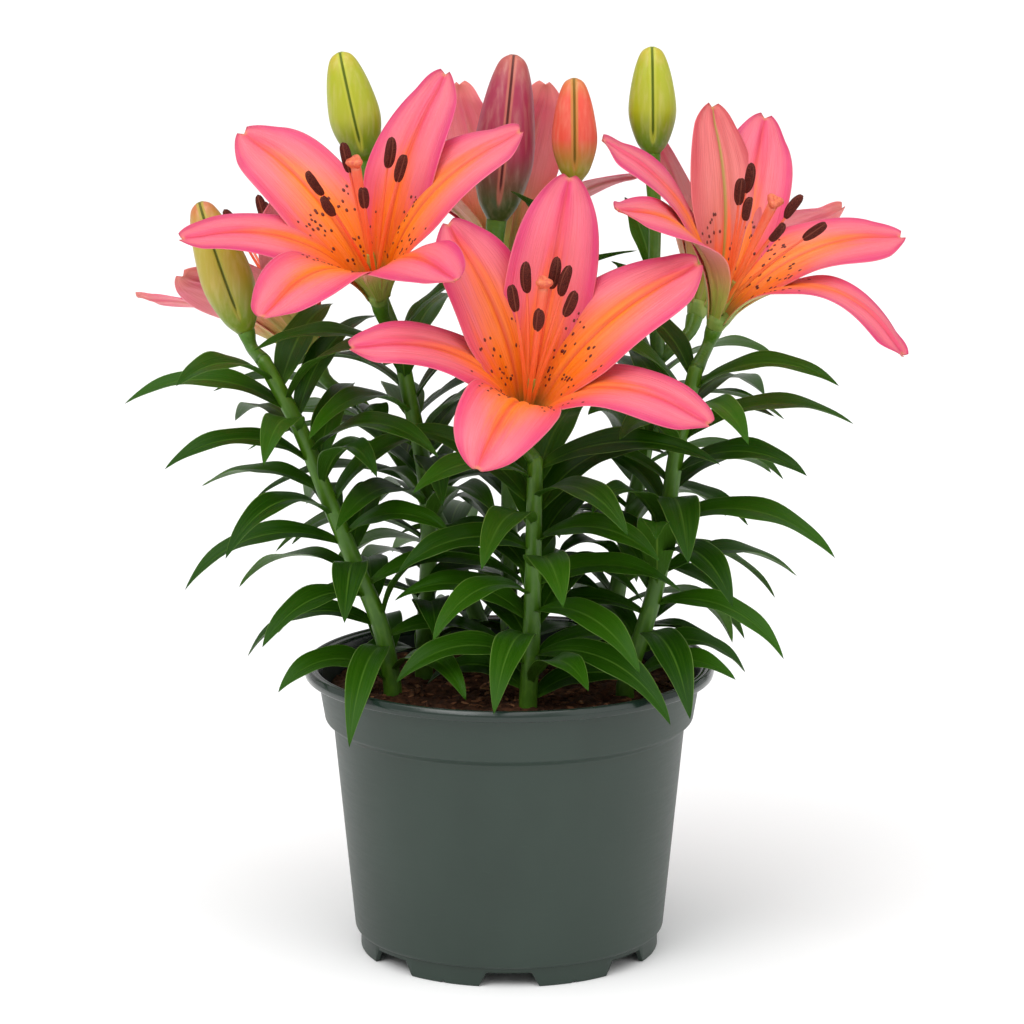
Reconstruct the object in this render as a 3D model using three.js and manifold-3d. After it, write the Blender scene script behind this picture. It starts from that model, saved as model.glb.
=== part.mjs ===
// A potted Asiatic lily in full bloom: seven leafy stems in a six-inch nursery pot,
// with six open blooms, five buds, and a bulb under each stem.
// Millimetres, +Z up, origin on the pot's axis at the standing plane, front towards -Y.

import * as THREE from 'three';
import { mergeVertices } from 'three/addons/utils/BufferGeometryUtils.js';
import Module from 'manifold-3d';

const wasm = await Module();
wasm.setup();

// Driving dimensions of the pot

const POT = {
  height: 108.6,
  rimRadius: 76.2,
  lipDepth: 4.2,
  collarTop: 71.1,
  collarFoot: 68.4,
  collarFootZ: 86.4,
  bodyTop: 65.3,
  bodyFoot: 57.7,
  bodyFootZ: 8.4,
  ringRadius: 55.6,
  ringZ: 7.4,
  floorZ: 5.6,
  wall: 1.8,
  sides: 35,
};
const FEET = { count: 7, notchTop: 5.4, narrow: 8.2, wide: 11.4 };
const DRAIN = { count: 4, radius: 3.4, circle: 40, sides: 6 };
const FIT = 0.35;

// Driving dimensions of the soil and the bulbs

const SOIL = { surfaceZ: 98, roughness: 1.3, sides: 18 };
const BULB = { radius: 12, topZ: 60.6, bottomZ: 30, sides: 6 };

// Driving dimensions of the leafy stems
// a path begins with the [x, y] of the stem's foot, and its other points lead up to the pedicels
// a pedicel lists the points that it passes on the way to its flower
// a bract is [pedicel, share along it, azimuth]

const STEM = { radius: 3.6, tipRadius: 2.8, sides: 6, footZ: 61 };
const PEDICEL = { radius: 2.3, sides: 6 };
const STEMS = {
  front: {
    path: [[7, -31], [8, -31, 120], [8.5, -31, 145], [9, -31, 172], [9.5, -31, 190]],
    pedicels: { bloom_front: [] },
    leaves: { count: 27, turn: 20, top: 189 },
    bracts: [],
  },
  left: {
    path: [[-43, -12], [-47, -12, 124], [-56, -12, 147], [-66, -12, 172], [-76, -12, 198], [-89, -10, 223]],
    pedicels: { bud_tan: [] },
    leaves: { count: 31, turn: 200, top: 222 },
    bracts: [],
  },
  middle_left: {
    path: [[-32, 19], [-31, 17, 124], [-30, 14, 148], [-31, 12, 174], [-37, 8, 208], [-40, 4, 226]],
    pedicels: { bloom_left: [], bud_green_left: [[-48, 15, 246], [-54, 25, 270]] },
    leaves: { count: 28, turn: 95, top: 225 },
    bracts: [['bud_green_left', 0.12, 165], ['bud_green_left', 0.34, 60], ['bloom_left', 0.2, 350]],
  },
  right: {
    path: [[43, -10], [50, -9, 124], [55, -8, 143], [58, -8, 166], [61, -8, 188], [68, -6, 219]],
    pedicels: { bloom_right: [] },
    leaves: { count: 31, turn: 310, top: 218 },
    bracts: [],
  },
  back_right: {
    path: [[37, 24], [40, 27, 124], [45, 32, 152], [51, 36, 182], [56, 38, 216]],
    pedicels: { bloom_back_right: [], bud_green_right: [[54, 35, 240], [54, 32, 268]] },
    leaves: { count: 28, turn: 60, top: 214 },
    bracts: [['bud_green_right', 0.2, 235], ['bud_green_right', 0.42, 110]],
  },
  back: {
    path: [[1, 9], [0, 12, 124], [0, 17, 152], [0, 23, 190], [0, 29, 222]],
    pedicels: { bloom_back: [], bud_dusky: [[-3, 26, 248]], bud_coral: [[14, 21, 248], [23, 14, 268]] },
    leaves: { count: 27, turn: 0, top: 221 },
    bracts: [['bud_coral', 0.62, 230], ['bud_dusky', 0.4, 60]],
  },
  back_left: {
    path: [[-8, 41], [-16, 43, 126], [-26, 44, 150], [-40, 44, 175], [-56, 44, 197]],
    pedicels: { bloom_back_left: [] },
    leaves: { count: 25, turn: 130, top: 195 },
    bracts: [],
  },
};

// Driving dimensions of the leaves and of the bracts, the small leaves on the pedicels
// rise is a leaf's slope at its root and fall its slope at its tip, in degrees
// inward is what each gains on a leaf that points to the crowded middle of the plant

const LEAF = {
  length: 63,
  width: 12.5,
  thickness: 1.4,
  bank: 0.45,
  rise: { top: 42, low: 26, inward: 20, scatter: 14 },
  fall: { top: -32, low: -74, inward: 16, scatter: 20 },
  turnScatter: 16,
  seed: 11,
};
const BRACT = { length: 40, width: 10, rise: 68, fall: 14 };
const GOLDEN_ANGLE = 137.508;

// The room that each leaf keeps from what stands near it, and from the pot and the ground
const ROOM = { leaf: 2.3, tepal: 2.2, bud: 0.5, stem: 0.3, over: 3.5, inside: 5, outside: 3, lowest: 88 };

// Driving dimensions of the blooms
// base is the middle of the receptacle and axis the way the bloom faces
// a tepal is [azimuth, length, width, angle at its tip], counted from the uppermost side
// a stamen is [azimuth, angle from the axis]

const TEPAL = {
  thickness: 1.0,
  startAngle: 14,
  widest: 0.52,
  startRadius: { inner: 3.0, outer: 3.9 },
  cup: { inner: 0.3, outer: 0.08 },
};
const STAMEN = { length: 54, antherLength: 12.5, antherRadius: 1.9, filament: 0.75 };
const PISTIL = { length: 53, radius: 1.1, stigma: 2.3, ovary: 1.8, ovaryLength: 13 };
const BLOOMS = {
  bloom_left: {
    base: [-47.6, -7.3, 247], axis: [-0.137, -0.519, 0.844], pistil: [7, 7],
    inner: [[57, 81, 34, 95], [-59, 85, 33, 89], [161, 80, 32, 104]],
    outer: [[-23, 85, 29, 73], [-132, 80, 28, 96], [109, 81, 26, 103]],
    stamens: [[28, 9], [114, 14], [164, 18], [210, 15], [288, 18], [324, 18]],
  },
  bloom_front: {
    base: [6, -33.1, 205.6], axis: [0.127, -0.545, 0.829], pistil: [353, 13],
    inner: [[32, 78, 36, 72], [-76, 87, 36, 77], [150, 80, 34, 116]],
    outer: [[-18, 89, 32, 57], [-128, 82, 28, 114], [87, 82, 26, 113]],
    stamens: [[16, 16], [74, 12], [150, 10], [323, 16], [340, 20], [261, 8]],
  },
  bloom_right: {
    base: [76.1, -1.6, 237.1], axis: [0.309, -0.27, 0.912], pistil: [140, 13],
    inner: [[-20, 80, 30, 64], [-120, 77, 36, 93], [75, 82, 30, 100]],
    outer: [[37, 83, 27, 88], [-46, 81, 29, 69], [-167, 84, 25, 135]],
    stamens: [[91, 18], [60, 9], [112, 24], [167, 16], [140, 30], [176, 28]],
  },
  bloom_back_left: {
    base: [-74, 42, 216], axis: [-0.5, 0.3, 0.81], pistil: [180, 8],
    inner: [[26, 72, 31, 74], [150, 70, 31, 72], [270, 66, 31, 84]],
    outer: [[-30, 74, 25, 78], [90, 72, 25, 92], [210, 71, 25, 66]],
    stamens: [[0, 14], [60, 14], [120, 14], [180, 14], [240, 14], [300, 14]],
  },
  bloom_back: {
    base: [-2, 45, 246], axis: [0, 0.35, 0.94], pistil: [180, 8],
    inner: [[30, 74, 31, 34], [150, 72, 31, 96], [270, 70, 31, 96]],
    outer: [[-30, 74, 26, 36], [90, 70, 25, 96], [210, 72, 25, 100]],
    stamens: [[0, 14], [60, 14], [120, 14], [180, 14], [240, 14], [300, 14]],
  },
  bloom_back_right: {
    base: [71, 45, 234], axis: [0.34, 0.42, 0.84], pistil: [180, 8],
    inner: [[30, 70, 31, 66], [150, 70, 31, 68], [270, 72, 31, 66]],
    outer: [[-30, 70, 25, 62], [96, 66, 25, 70], [210, 70, 25, 66]],
    stamens: [[0, 14], [60, 14], [120, 14], [180, 14], [240, 14], [300, 14]],
  },
};

// Driving dimensions of the buds, each from the end of its pedicel to its tip
// a row of BUD_SHAPE is [share of the radius, share of the length, depth of the three lobes]

const BUDS = {
  bud_green_left: { base: [-53, 25, 292], tip: [-62, 24, 332.5], radius: 9.4, colour: 0xb4be3c },
  bud_dusky: { base: [-4.5, 26, 270], tip: [1.8, 26, 331.7], radius: 11.2, colour: 0xaf5060 },
  bud_coral: { base: [24, 14, 286], tip: [23.6, 14, 324], radius: 8.3, colour: 0xe0705a },
  bud_green_right: { base: [53, 32, 294], tip: [52.5, 32, 333.7], radius: 8.8, colour: 0xb4be3c },
  bud_tan: { base: [-95.9, -3, 233], tip: [-112.3, -3, 281], radius: 9.5, colour: 0xc0b050 },
};
const BUD_NECK = 0.34;
const BUD_SHAPE = [
  [BUD_NECK, 0, 0], [0.7, 0.12, 0.03], [1, 0.38, 0.05], [0.86, 0.66, 0.06], [0.5, 0.92, 0.1], [0, 1, 0],
];
const BUD_SIDES = 12;

// Colours

const COLOURS = {
  pot: 0x46504a, soil: 0x3a2a1e, bulb: 0xe8dcc0, leaf: 0x2f6b25, tepal: 0xf0786e, stamens: 0xb04a26,
};

const radians = (degrees) => degrees * Math.PI / 180;
const vector = (point) => new THREE.Vector3(...point);
const mix = (from, to, share) => from + (to - from) * share;

function seededRandom(seed) {
  let state = seed;
  return () => {
    state = (state + 0x6d2b79f5) >>> 0;
    let mixed = Math.imul(state ^ (state >>> 15), state | 1);
    mixed ^= mixed + Math.imul(mixed ^ (mixed >>> 7), mixed | 61);
    return ((mixed ^ (mixed >>> 14)) >>> 0) / 4294967296;
  };
}

// Solids joined and cut

function solidOf(geometry) {
  const bare = geometry.clone();
  bare.deleteAttribute('normal');
  bare.deleteAttribute('uv');
  const merged = mergeVertices(bare, 1e-4);
  const corners = merged.index.array;
  const kept = [];
  for (let i = 0; i < corners.length; i += 3) {
    const [a, b, c] = corners.slice(i, i + 3);
    if (a !== b && b !== c && c !== a) kept.push(a, b, c);
  }
  return new wasm.Manifold(new wasm.Mesh({
    numProp: 3,
    vertProperties: new Float32Array(merged.attributes.position.array),
    triVerts: new Uint32Array(kept),
  }));
}

function geometryOf(solid) {
  const mesh = solid.getMesh();
  const geometry = new THREE.BufferGeometry();
  geometry.setAttribute('position', new THREE.BufferAttribute(new Float32Array(mesh.vertProperties), 3));
  geometry.setIndex(new THREE.BufferAttribute(new Uint32Array(mesh.triVerts), 1));
  return geometry;
}

const joined = (solids) => solids.reduce((whole, solid) => whole.add(solid));

// A closed skin over rings of points; the two faces of a blade are split alike
function loft(rings, tip) {
  const size = rings[0].length;
  const half = size / 2;
  const positions = rings.flat().flatMap((point) => point.toArray());
  const faces = [];
  for (let i = 0; i + 1 < rings.length; i += 1) {
    for (let j = 0; j < size; j += 1) {
      const next = (j + 1) % size;
      const [a, b, c, d] = [i * size + j, i * size + next, (i + 1) * size + next, (i + 1) * size + j];
      if (j < half) faces.push(a, b, c, a, c, d);
      else faces.push(a, b, d, b, c, d);
    }
  }
  const cap = (start, flipped) => {
    for (let k = 0; k < Math.floor(half); k += 1) {
      const [a, b, c, d] = [k, k + 1, size - k - 1, (size - k) % size].map((j) => start + j);
      const triangles = [];
      if (b !== c) triangles.push([a, c, b]);
      if (a !== d) triangles.push([a, d, c]);
      for (const [p, q, r] of triangles) faces.push(...(flipped ? [p, r, q] : [p, q, r]));
    }
  };
  cap(0, false);
  const last = (rings.length - 1) * size;
  if (tip) {
    const apex = positions.length / 3;
    positions.push(...tip.toArray());
    for (let j = 0; j < size; j += 1) faces.push(last + j, last + (j + 1) % size, apex);
  } else {
    cap(last, true);
  }
  const geometry = new THREE.BufferGeometry();
  geometry.setAttribute('position', new THREE.Float32BufferAttribute(positions, 3));
  geometry.setIndex(faces);
  return geometry;
}

const curveThrough = (points) => new THREE.CatmullRomCurve3(points, false, 'centripetal');

// A rod along a curve, with a radius for each share of its length
function rod(points, radiusAt, sides, steps) {
  const curve = curveThrough(points);
  const rings = [];
  let across = new THREE.Vector3(1, 0, 0);
  for (let i = 0; i <= steps; i += 1) {
    const along = curve.getTangentAt(i / steps);
    across = across.clone().addScaledVector(along, -across.dot(along)).normalize();
    const beside = new THREE.Vector3().crossVectors(along, across);
    const centre = curve.getPointAt(i / steps);
    const radius = radiusAt(i / steps);
    rings.push(Array.from({ length: sides }, (_, j) => centre.clone()
      .addScaledVector(across, radius * Math.cos(2 * Math.PI * j / sides))
      .addScaledVector(beside, radius * Math.sin(2 * Math.PI * j / sides))));
  }
  return loft(rings);
}

// A turned solid: each row of its profile is [radius, height, depth of three lobes]
function turned(profile, sides, from, along, across) {
  const beside = new THREE.Vector3().crossVectors(along, across);
  const rings = profile.filter(([radius]) => radius > 0).map(([radius, height, lobes = 0]) => (
    Array.from({ length: sides }, (_, j) => {
      const angle = 2 * Math.PI * j / sides;
      const reach = radius * (1 + lobes * Math.cos(3 * angle));
      return from.clone().addScaledVector(along, height)
        .addScaledVector(across, reach * Math.cos(angle))
        .addScaledVector(beside, reach * Math.sin(angle));
    })));
  const [lastRadius, lastHeight] = profile[profile.length - 1];
  const tip = lastRadius === 0 ? from.clone().addScaledVector(along, lastHeight) : null;
  return loft(rings, tip);
}

// Pot

function lathe(outline, sides) {
  const points = outline.map(([radius, height]) => new THREE.Vector2(radius, height));
  const geometry = new THREE.LatheGeometry(points, sides);
  geometry.rotateX(Math.PI / 2);
  geometry.rotateZ(Math.PI / sides - Math.PI / 2);
  return geometry;
}

// The inside of the pot, from the middle of its floor to the rim
function potInside(gap) {
  const { wall } = POT;
  const inset = wall + gap;
  return [
    [0, POT.floorZ + inset],
    [POT.bodyFoot - inset - 1.2, POT.floorZ + inset],
    [POT.bodyFoot - inset + 0.3, POT.bodyFootZ + inset],
    [POT.bodyTop - inset, POT.collarFootZ - 0.6],
    [POT.collarFoot - inset, POT.collarFootZ + inset],
    [POT.collarTop - inset, POT.height - POT.lipDepth],
  ];
}

function pot() {
  const { rimRadius, height, lipDepth, ringRadius, ringZ, wall } = POT;
  const outside = [
    [0, POT.floorZ],
    [ringRadius - wall, POT.floorZ],
    [ringRadius - wall, 0],
    [ringRadius, 0],
    [ringRadius, ringZ],
    [POT.bodyFoot - 0.8, ringZ],
    [POT.bodyFoot, POT.bodyFootZ],
    [POT.bodyTop, POT.collarFootZ - 0.6],
    [POT.collarFoot, POT.collarFootZ + 1.8],
    [POT.collarTop, height - lipDepth],
    [rimRadius - 0.4, height - lipDepth],
    [rimRadius, height - lipDepth / 2],
    [rimRadius - 1.6, height],
    [rimRadius - 4.6, height - 0.6],
  ];
  const outline = [...outside, ...potInside(0).reverse()];
  let whole = solidOf(lathe(outline, POT.sides));
  for (let i = 0; i < FEET.count; i += 1) {
    whole = whole.subtract(notch(2 * Math.PI * i / FEET.count));
  }
  for (let i = 0; i < DRAIN.count; i += 1) {
    const turn = 2 * Math.PI * (i + 0.5) / DRAIN.count;
    whole = whole.subtract(drainHole(DRAIN.circle * Math.sin(turn), -DRAIN.circle * Math.cos(turn)));
  }
  return whole;
}

// A notch between two feet, wider at the standing plane
function notch(turn) {
  const shape = new THREE.Shape([
    new THREE.Vector2(-FEET.wide - 0.4, -1),
    new THREE.Vector2(FEET.wide + 0.4, -1),
    new THREE.Vector2(FEET.narrow, FEET.notchTop),
    new THREE.Vector2(-FEET.narrow, FEET.notchTop),
  ]);
  const geometry = new THREE.ExtrudeGeometry(shape, { depth: 12, bevelEnabled: false });
  geometry.rotateX(Math.PI / 2);
  geometry.translate(0, -(POT.ringRadius - 8), 0);
  geometry.rotateZ(turn);
  return solidOf(geometry);
}

function drainHole(x, y) {
  const geometry = new THREE.CylinderGeometry(DRAIN.radius, DRAIN.radius, 12, DRAIN.sides);
  geometry.rotateX(Math.PI / 2);
  geometry.translate(x, y, POT.floorZ);
  return solidOf(geometry);
}

// Soil, with a plain hole for each stem and a hollow for each bulb

const soilHeight = (x, y) => SOIL.surfaceZ + SOIL.roughness * (
  0.6 * Math.sin(0.21 * x + 0.9) * Math.cos(0.19 * y - 0.4) + 0.4 * Math.sin(0.55 * x - 0.3 * y));

function soil(stemPaths) {
  const inside = potInside(FIT);
  const [topRadius, topZ] = inside.pop();
  const [footRadius, footZ] = inside[inside.length - 1];
  const edge = mix(footRadius, topRadius, (SOIL.surfaceZ - footZ) / (topZ - footZ));
  const surface = [1, 0.78, 0.52, 0.24, 0].map((part) => [edge * part, SOIL.surfaceZ]);
  const geometry = lathe([...inside, ...surface], SOIL.sides);
  const position = geometry.attributes.position;
  for (let i = 0; i < position.count; i += 1) {
    const [x, y, z] = [position.getX(i), position.getY(i), position.getZ(i)];
    const onSurface = Math.abs(z - SOIL.surfaceZ) < 0.01;
    if (onSurface && Math.hypot(x, y) < edge - 1) position.setZ(i, soilHeight(x, y));
  }
  let whole = solidOf(geometry);
  for (const path of stemPaths) {
    const hole = [path[0], path[2]];
    whole = whole.subtract(solidOf(rod(hole, () => STEM.radius + 2 * FIT, STEM.sides, 1)));
    whole = whole.subtract(bulb(path[0], FIT));
  }
  return whole;
}

// swell is how far the skin stands out all round, to make the hollow that a bulb sits in
function bulb(foot, swell) {
  const shape = [[0.42, 0], [0.94, 0.2], [0.96, 0.46], [0.6, 0.76], [0.3, 1]];
  const height = BULB.topZ - BULB.bottomZ;
  const profile = shape.map(([radius, share]) => (
    [radius * BULB.radius + swell, mix(-swell, height + 3 * swell, share)]));
  const from = new THREE.Vector3(foot.x, foot.y, BULB.bottomZ);
  return solidOf(turned(profile, BULB.sides, from, new THREE.Vector3(0, 0, 1), new THREE.Vector3(1, 0, 0)));
}

// Blooms

// Across, beside and along a bloom's axis, with azimuth 0 on its uppermost side
function bloomFrame(bloom) {
  const along = vector(bloom.axis).normalize();
  const across = new THREE.Vector3(0, 0, 1);
  across.addScaledVector(along, -across.dot(along)).normalize();
  return { along, across, beside: new THREE.Vector3().crossVectors(along, across), base: vector(bloom.base) };
}

// Half the width of a tepal at a share of its length: a narrow claw, a broad blade and a blunt tip
function tepalHalfWidth(width, share) {
  const { widest } = TEPAL;
  if (share < widest) {
    return width / 2 * (0.22 + 0.78 * Math.sin(Math.PI / 2 * share / widest) ** 1.35);
  }
  return width / 2 * Math.max(0, 1 - ((share - widest) / (1 - widest)) ** 2.6) ** 0.62;
}

// The middle line of a tepal: its angle from the bloom's axis grows from the throat to the tip
function tepalMidline([, length, , tipAngle], layer, steps = 40) {
  const angleAt = (share) => radians(TEPAL.startAngle * (1 - share) ** 2
    + 2 * (0.45 * tipAngle + 8) * share * (1 - share) + tipAngle * share ** 2);
  const line = [{ out: TEPAL.startRadius[layer], up: 0, angle: angleAt(0) }];
  for (let i = 0; i < steps; i += 1) {
    const angle = angleAt((i + 0.5) / steps);
    const { out, up } = line[i];
    const step = length / steps;
    line.push({
      out: out + step * Math.sin(angle),
      up: up + step * Math.cos(angle),
      angle: angleAt((i + 1) / steps),
    });
  }
  return line;
}

// A point of a tepal: share runs along it, side from -1 to 1 across it, and lift off its middle face
// Its margins curl inwards near the throat and lie flat at the tip
function tepalPoint(frame, tepal, layer, line, share, side, lift = 0) {
  const azimuth = radians(tepal[0]);
  const outward = frame.across.clone().multiplyScalar(Math.cos(azimuth))
    .addScaledVector(frame.beside, Math.sin(azimuth));
  const sideways = frame.across.clone().multiplyScalar(-Math.sin(azimuth))
    .addScaledVector(frame.beside, Math.cos(azimuth));
  const { out, up, angle } = line[Math.round(share * (line.length - 1))];
  const inward = outward.clone().multiplyScalar(-Math.cos(angle))
    .addScaledVector(frame.along, Math.sin(angle));
  const half = tepalHalfWidth(tepal[2], share);
  const cup = TEPAL.cup[layer] * (1 - 1.2 * share) * half * side * side;
  return frame.base.clone()
    .addScaledVector(outward, out)
    .addScaledVector(frame.along, up)
    .addScaledVector(sideways, half * side)
    .addScaledVector(inward, cup + lift);
}

// How a bloom is cut into faces: the shares along a tepal, the points around it, and the sides of a stamen
const FRONT_BLADE = {
  shares: [0, 0.2, 0.45, 0.7, 0.9],
  around: [[1, 0], [0.45, 1], [-0.45, 1], [-1, 0], [-0.45, -1], [0.45, -1]],
  threadSides: 4,
};
const BACK_BLADE = {
  shares: [0, 0.25, 0.55, 0.825],
  around: [[1, 0], [0, 1], [-1, 0], [0, -1]],
  threadSides: 3,
};
const bladeOf = (frame) => (frame.along.y < 0 ? FRONT_BLADE : BACK_BLADE);

function tepalSolid(frame, tepal, layer) {
  const blade = bladeOf(frame);
  const line = tepalMidline(tepal, layer);
  const lift = TEPAL.thickness / 2;
  const rings = blade.shares.map((share) => blade.around.map(([side, face]) => (
    tepalPoint(frame, tepal, layer, line, share, side, face * lift))));
  return solidOf(loft(rings, tepalPoint(frame, tepal, layer, line, 1, 0)));
}

const RECEPTACLE = { bottom: -4, top: 2.6, lowRadius: 3.2, highRadius: 4.7, sides: 8 };

function bloomTepals(bloom) {
  const frame = bloomFrame(bloom);
  const { bottom, top, lowRadius, highRadius, sides } = RECEPTACLE;
  const profile = [[lowRadius, bottom], [highRadius, top]];
  const solids = [solidOf(turned(profile, sides, frame.base, frame.along, frame.across))];
  for (const layer of ['inner', 'outer']) {
    for (const tepal of bloom[layer]) solids.push(tepalSolid(frame, tepal, layer));
  }
  return joined(solids);
}

// The line of a stamen or a style, leaning further out towards its end
function threadPoint(frame, [azimuth, spread], length, share) {
  const turn = radians(azimuth);
  const lean = radians(spread);
  const out = 0.5 + length * Math.sin(lean) * Math.max(0, share) ** 1.25;
  return frame.base.clone()
    .addScaledVector(frame.along, 4 + length * Math.cos(lean) * share)
    .addScaledVector(frame.across, out * Math.cos(turn))
    .addScaledVector(frame.beside, out * Math.sin(turn));
}

// A thread that swells into its anther or its stigma
function threadSolid(frame, lean, length, widths, sides) {
  const shares = widths.map(([share]) => share);
  const rings = widths.map(([share, radius], i) => {
    const ahead = threadPoint(frame, lean, length, shares[Math.min(i + 1, shares.length - 1)]);
    const along = ahead.sub(threadPoint(frame, lean, length, shares[Math.max(0, i - 1)])).normalize();
    const across = frame.across.clone().addScaledVector(along, -frame.across.dot(along)).normalize();
    const beside = new THREE.Vector3().crossVectors(along, across);
    const centre = threadPoint(frame, lean, length, share);
    return Array.from({ length: sides }, (_, j) => centre.clone()
      .addScaledVector(across, radius * Math.cos(2 * Math.PI * j / sides))
      .addScaledVector(beside, radius * Math.sin(2 * Math.PI * j / sides)));
  });
  return solidOf(loft(rings));
}

function bloomStamens(bloom) {
  const frame = bloomFrame(bloom);
  const { length, antherLength, antherRadius, filament } = STAMEN;
  const anther = antherLength / length;
  const stamenWidths = [[0.02, filament], [1 - anther / 2, 0.8 * filament], [1 - 0.25 * anther, antherRadius],
    [1 + anther / 2, 0.5 * antherRadius]];
  const { radius, stigma, ovary, ovaryLength } = PISTIL;
  const neck = ovaryLength / PISTIL.length;
  const styleWidths = [[-0.02, ovary], [neck, ovary], [1.3 * neck, radius], [0.9, 1.2 * radius], [1, stigma]];
  const sides = bladeOf(frame).threadSides;
  const solids = [threadSolid(frame, bloom.pistil, PISTIL.length, styleWidths, sides + 1)];
  for (const stamen of bloom.stamens) solids.push(threadSolid(frame, stamen, length, stamenWidths, sides));
  return joined(solids);
}

// Buds: three lobes that close over a blunt tip

function bud({ base, tip, radius }) {
  const from = vector(base);
  const along = vector(tip).sub(from);
  const length = along.length();
  along.normalize();
  const across = new THREE.Vector3(0, 1, 0).addScaledVector(along, -along.y).normalize();
  const profile = BUD_SHAPE.map(([wide, share, lobes]) => [wide * radius, share * length, lobes]);
  return solidOf(turned(profile, BUD_SIDES, from, along, across));
}

// Leafy stems

// A stem stands upright in its hole and leans only above the soil
function stemPoints({ path: [[x, y], ...above] }) {
  const upright = [STEM.footZ, SOIL.surfaceZ - 4, SOIL.surfaceZ + 4].map((z) => new THREE.Vector3(x, y, z));
  return [...upright, ...above.map(vector)];
}

const stemRadius = (share) => mix(STEM.radius, STEM.tipRadius, share);

// Where a pedicel ends: just short of the bloom or the bud it carries, square to it
function pedicelEnd(name) {
  if (BLOOMS[name]) {
    const { base, along } = bloomFrame(BLOOMS[name]);
    return { end: base.addScaledVector(along, RECEPTACLE.bottom - FIT), along, radius: RECEPTACLE.lowRadius };
  }
  const { base, tip, radius } = BUDS[name];
  const along = vector(tip).sub(vector(base)).normalize();
  return { end: vector(base).addScaledVector(along, -FIT), along, radius: BUD_NECK * radius };
}

function pedicelPoints(stem, name, detour) {
  const top = vector(stem.path[stem.path.length - 1]);
  const { end, along } = pedicelEnd(name);
  const before = end.clone().addScaledVector(along, -6);
  return [top, ...detour.map(vector), before, end];
}

function pedicelSolid(points, endRadius) {
  const radiusAt = (share) => mix(share < 0.5 ? 1.15 * PEDICEL.radius : PEDICEL.radius, endRadius,
    Math.max(0, 3 * share - 2));
  return solidOf(rod(points, radiusAt, PEDICEL.sides, Math.max(3, points.length)));
}

// Leaves, banked so that their upper faces turn to the outside of the plant

// Half the width of a leaf at a share of its length: lance-shaped, widest below its middle
function leafHalfWidth(leaf, share) {
  return leaf.width / 2 * (0.17 * (1 - share) + 0.97 * Math.sin(Math.PI * share ** 0.85) ** 0.9);
}

// A leaf leaves its stem rising, arches over and points down at its tip
function leafLine(leaf, steps = 12) {
  const outward = new THREE.Vector3(Math.cos(leaf.azimuth), Math.sin(leaf.azimuth), 0);
  const line = [{ point: leaf.root.clone(), slope: leaf.rise }];
  for (let i = 0; i < steps; i += 1) {
    const slope = mix(leaf.rise, leaf.fall, (i + 0.5) / steps);
    const point = line[i].point.clone()
      .addScaledVector(outward, leaf.length / steps * Math.cos(slope));
    point.z += leaf.length / steps * Math.sin(slope);
    line.push({ point, slope: mix(leaf.rise, leaf.fall, (i + 1) / steps) });
  }
  return line;
}

function leafPoint(leaf, line, share, side, lift = 0) {
  const { point, slope } = line[Math.round(share * (line.length - 1))];
  const [cos, sin] = [Math.cos(leaf.azimuth), Math.sin(leaf.azimuth)];
  const above = new THREE.Vector3(-cos * Math.sin(slope), -sin * Math.sin(slope), Math.cos(slope));
  const beside = new THREE.Vector3(-sin, cos, 0);
  const half = leafHalfWidth(leaf, share);
  return point.clone()
    .addScaledVector(beside, half * side * Math.cos(leaf.bank) - lift * Math.sin(leaf.bank))
    .addScaledVector(above, half * side * Math.sin(leaf.bank) + lift * Math.cos(leaf.bank));
}

// The blade is flat on top with a keel along its underside
function leafSolid(leaf) {
  const line = leafLine(leaf);
  const outline = [[1, 0], [-1, 0], [0, -LEAF.thickness]];
  const rings = [0, 1 / 3, 2 / 3].map((share) => outline.map(([side, lift]) => (
    leafPoint(leaf, line, share, side, lift))));
  return solidOf(loft(rings, leafPoint(leaf, line, 1, 0)));
}

// Points that stand for a leaf when its room is tested
function leafProbes(leaf) {
  const line = leafLine(leaf);
  const probes = [];
  for (let i = 2; i < line.length; i += 1) {
    for (const side of [-0.9, 0, 0.9]) probes.push(leafPoint(leaf, line, i / (line.length - 1), side));
  }
  return probes;
}

// A crowd of round obstacles, each with the name of what it belongs to
class Crowd {
  constructor(cell) {
    this.cell = cell;
    this.cells = new Map();
  }

  key(point, [i, j, k] = [0, 0, 0]) {
    const cellOf = (value) => Math.floor(value / this.cell);
    return [cellOf(point.x) + i, cellOf(point.y) + j, cellOf(point.z) + k].join();
  }

  add(point, radius, owner) {
    const key = this.key(point);
    if (!this.cells.has(key)) this.cells.set(key, []);
    this.cells.get(key).push({ point, radius, owner });
  }

  isClear(point, radius, owner) {
    for (let i = -1; i <= 1; i += 1) {
      for (let j = -1; j <= 1; j += 1) {
        for (let k = -1; k <= 1; k += 1) {
          for (const other of this.cells.get(this.key(point, [i, j, k])) ?? []) {
            if (other.owner !== owner && point.distanceTo(other.point) < radius + other.radius) return false;
          }
        }
      }
    }
    return true;
  }
}

// Leaves stay over the soil, above the rim, or outside the pot
function clearOfPot(point) {
  const reach = Math.hypot(point.x, point.y);
  if (point.z > POT.height + ROOM.over) return true;
  if (reach < POT.collarTop - ROOM.inside) return point.z > SOIL.surfaceZ + ROOM.over;
  return reach > POT.rimRadius + ROOM.outside && point.z > ROOM.lowest;
}

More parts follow.
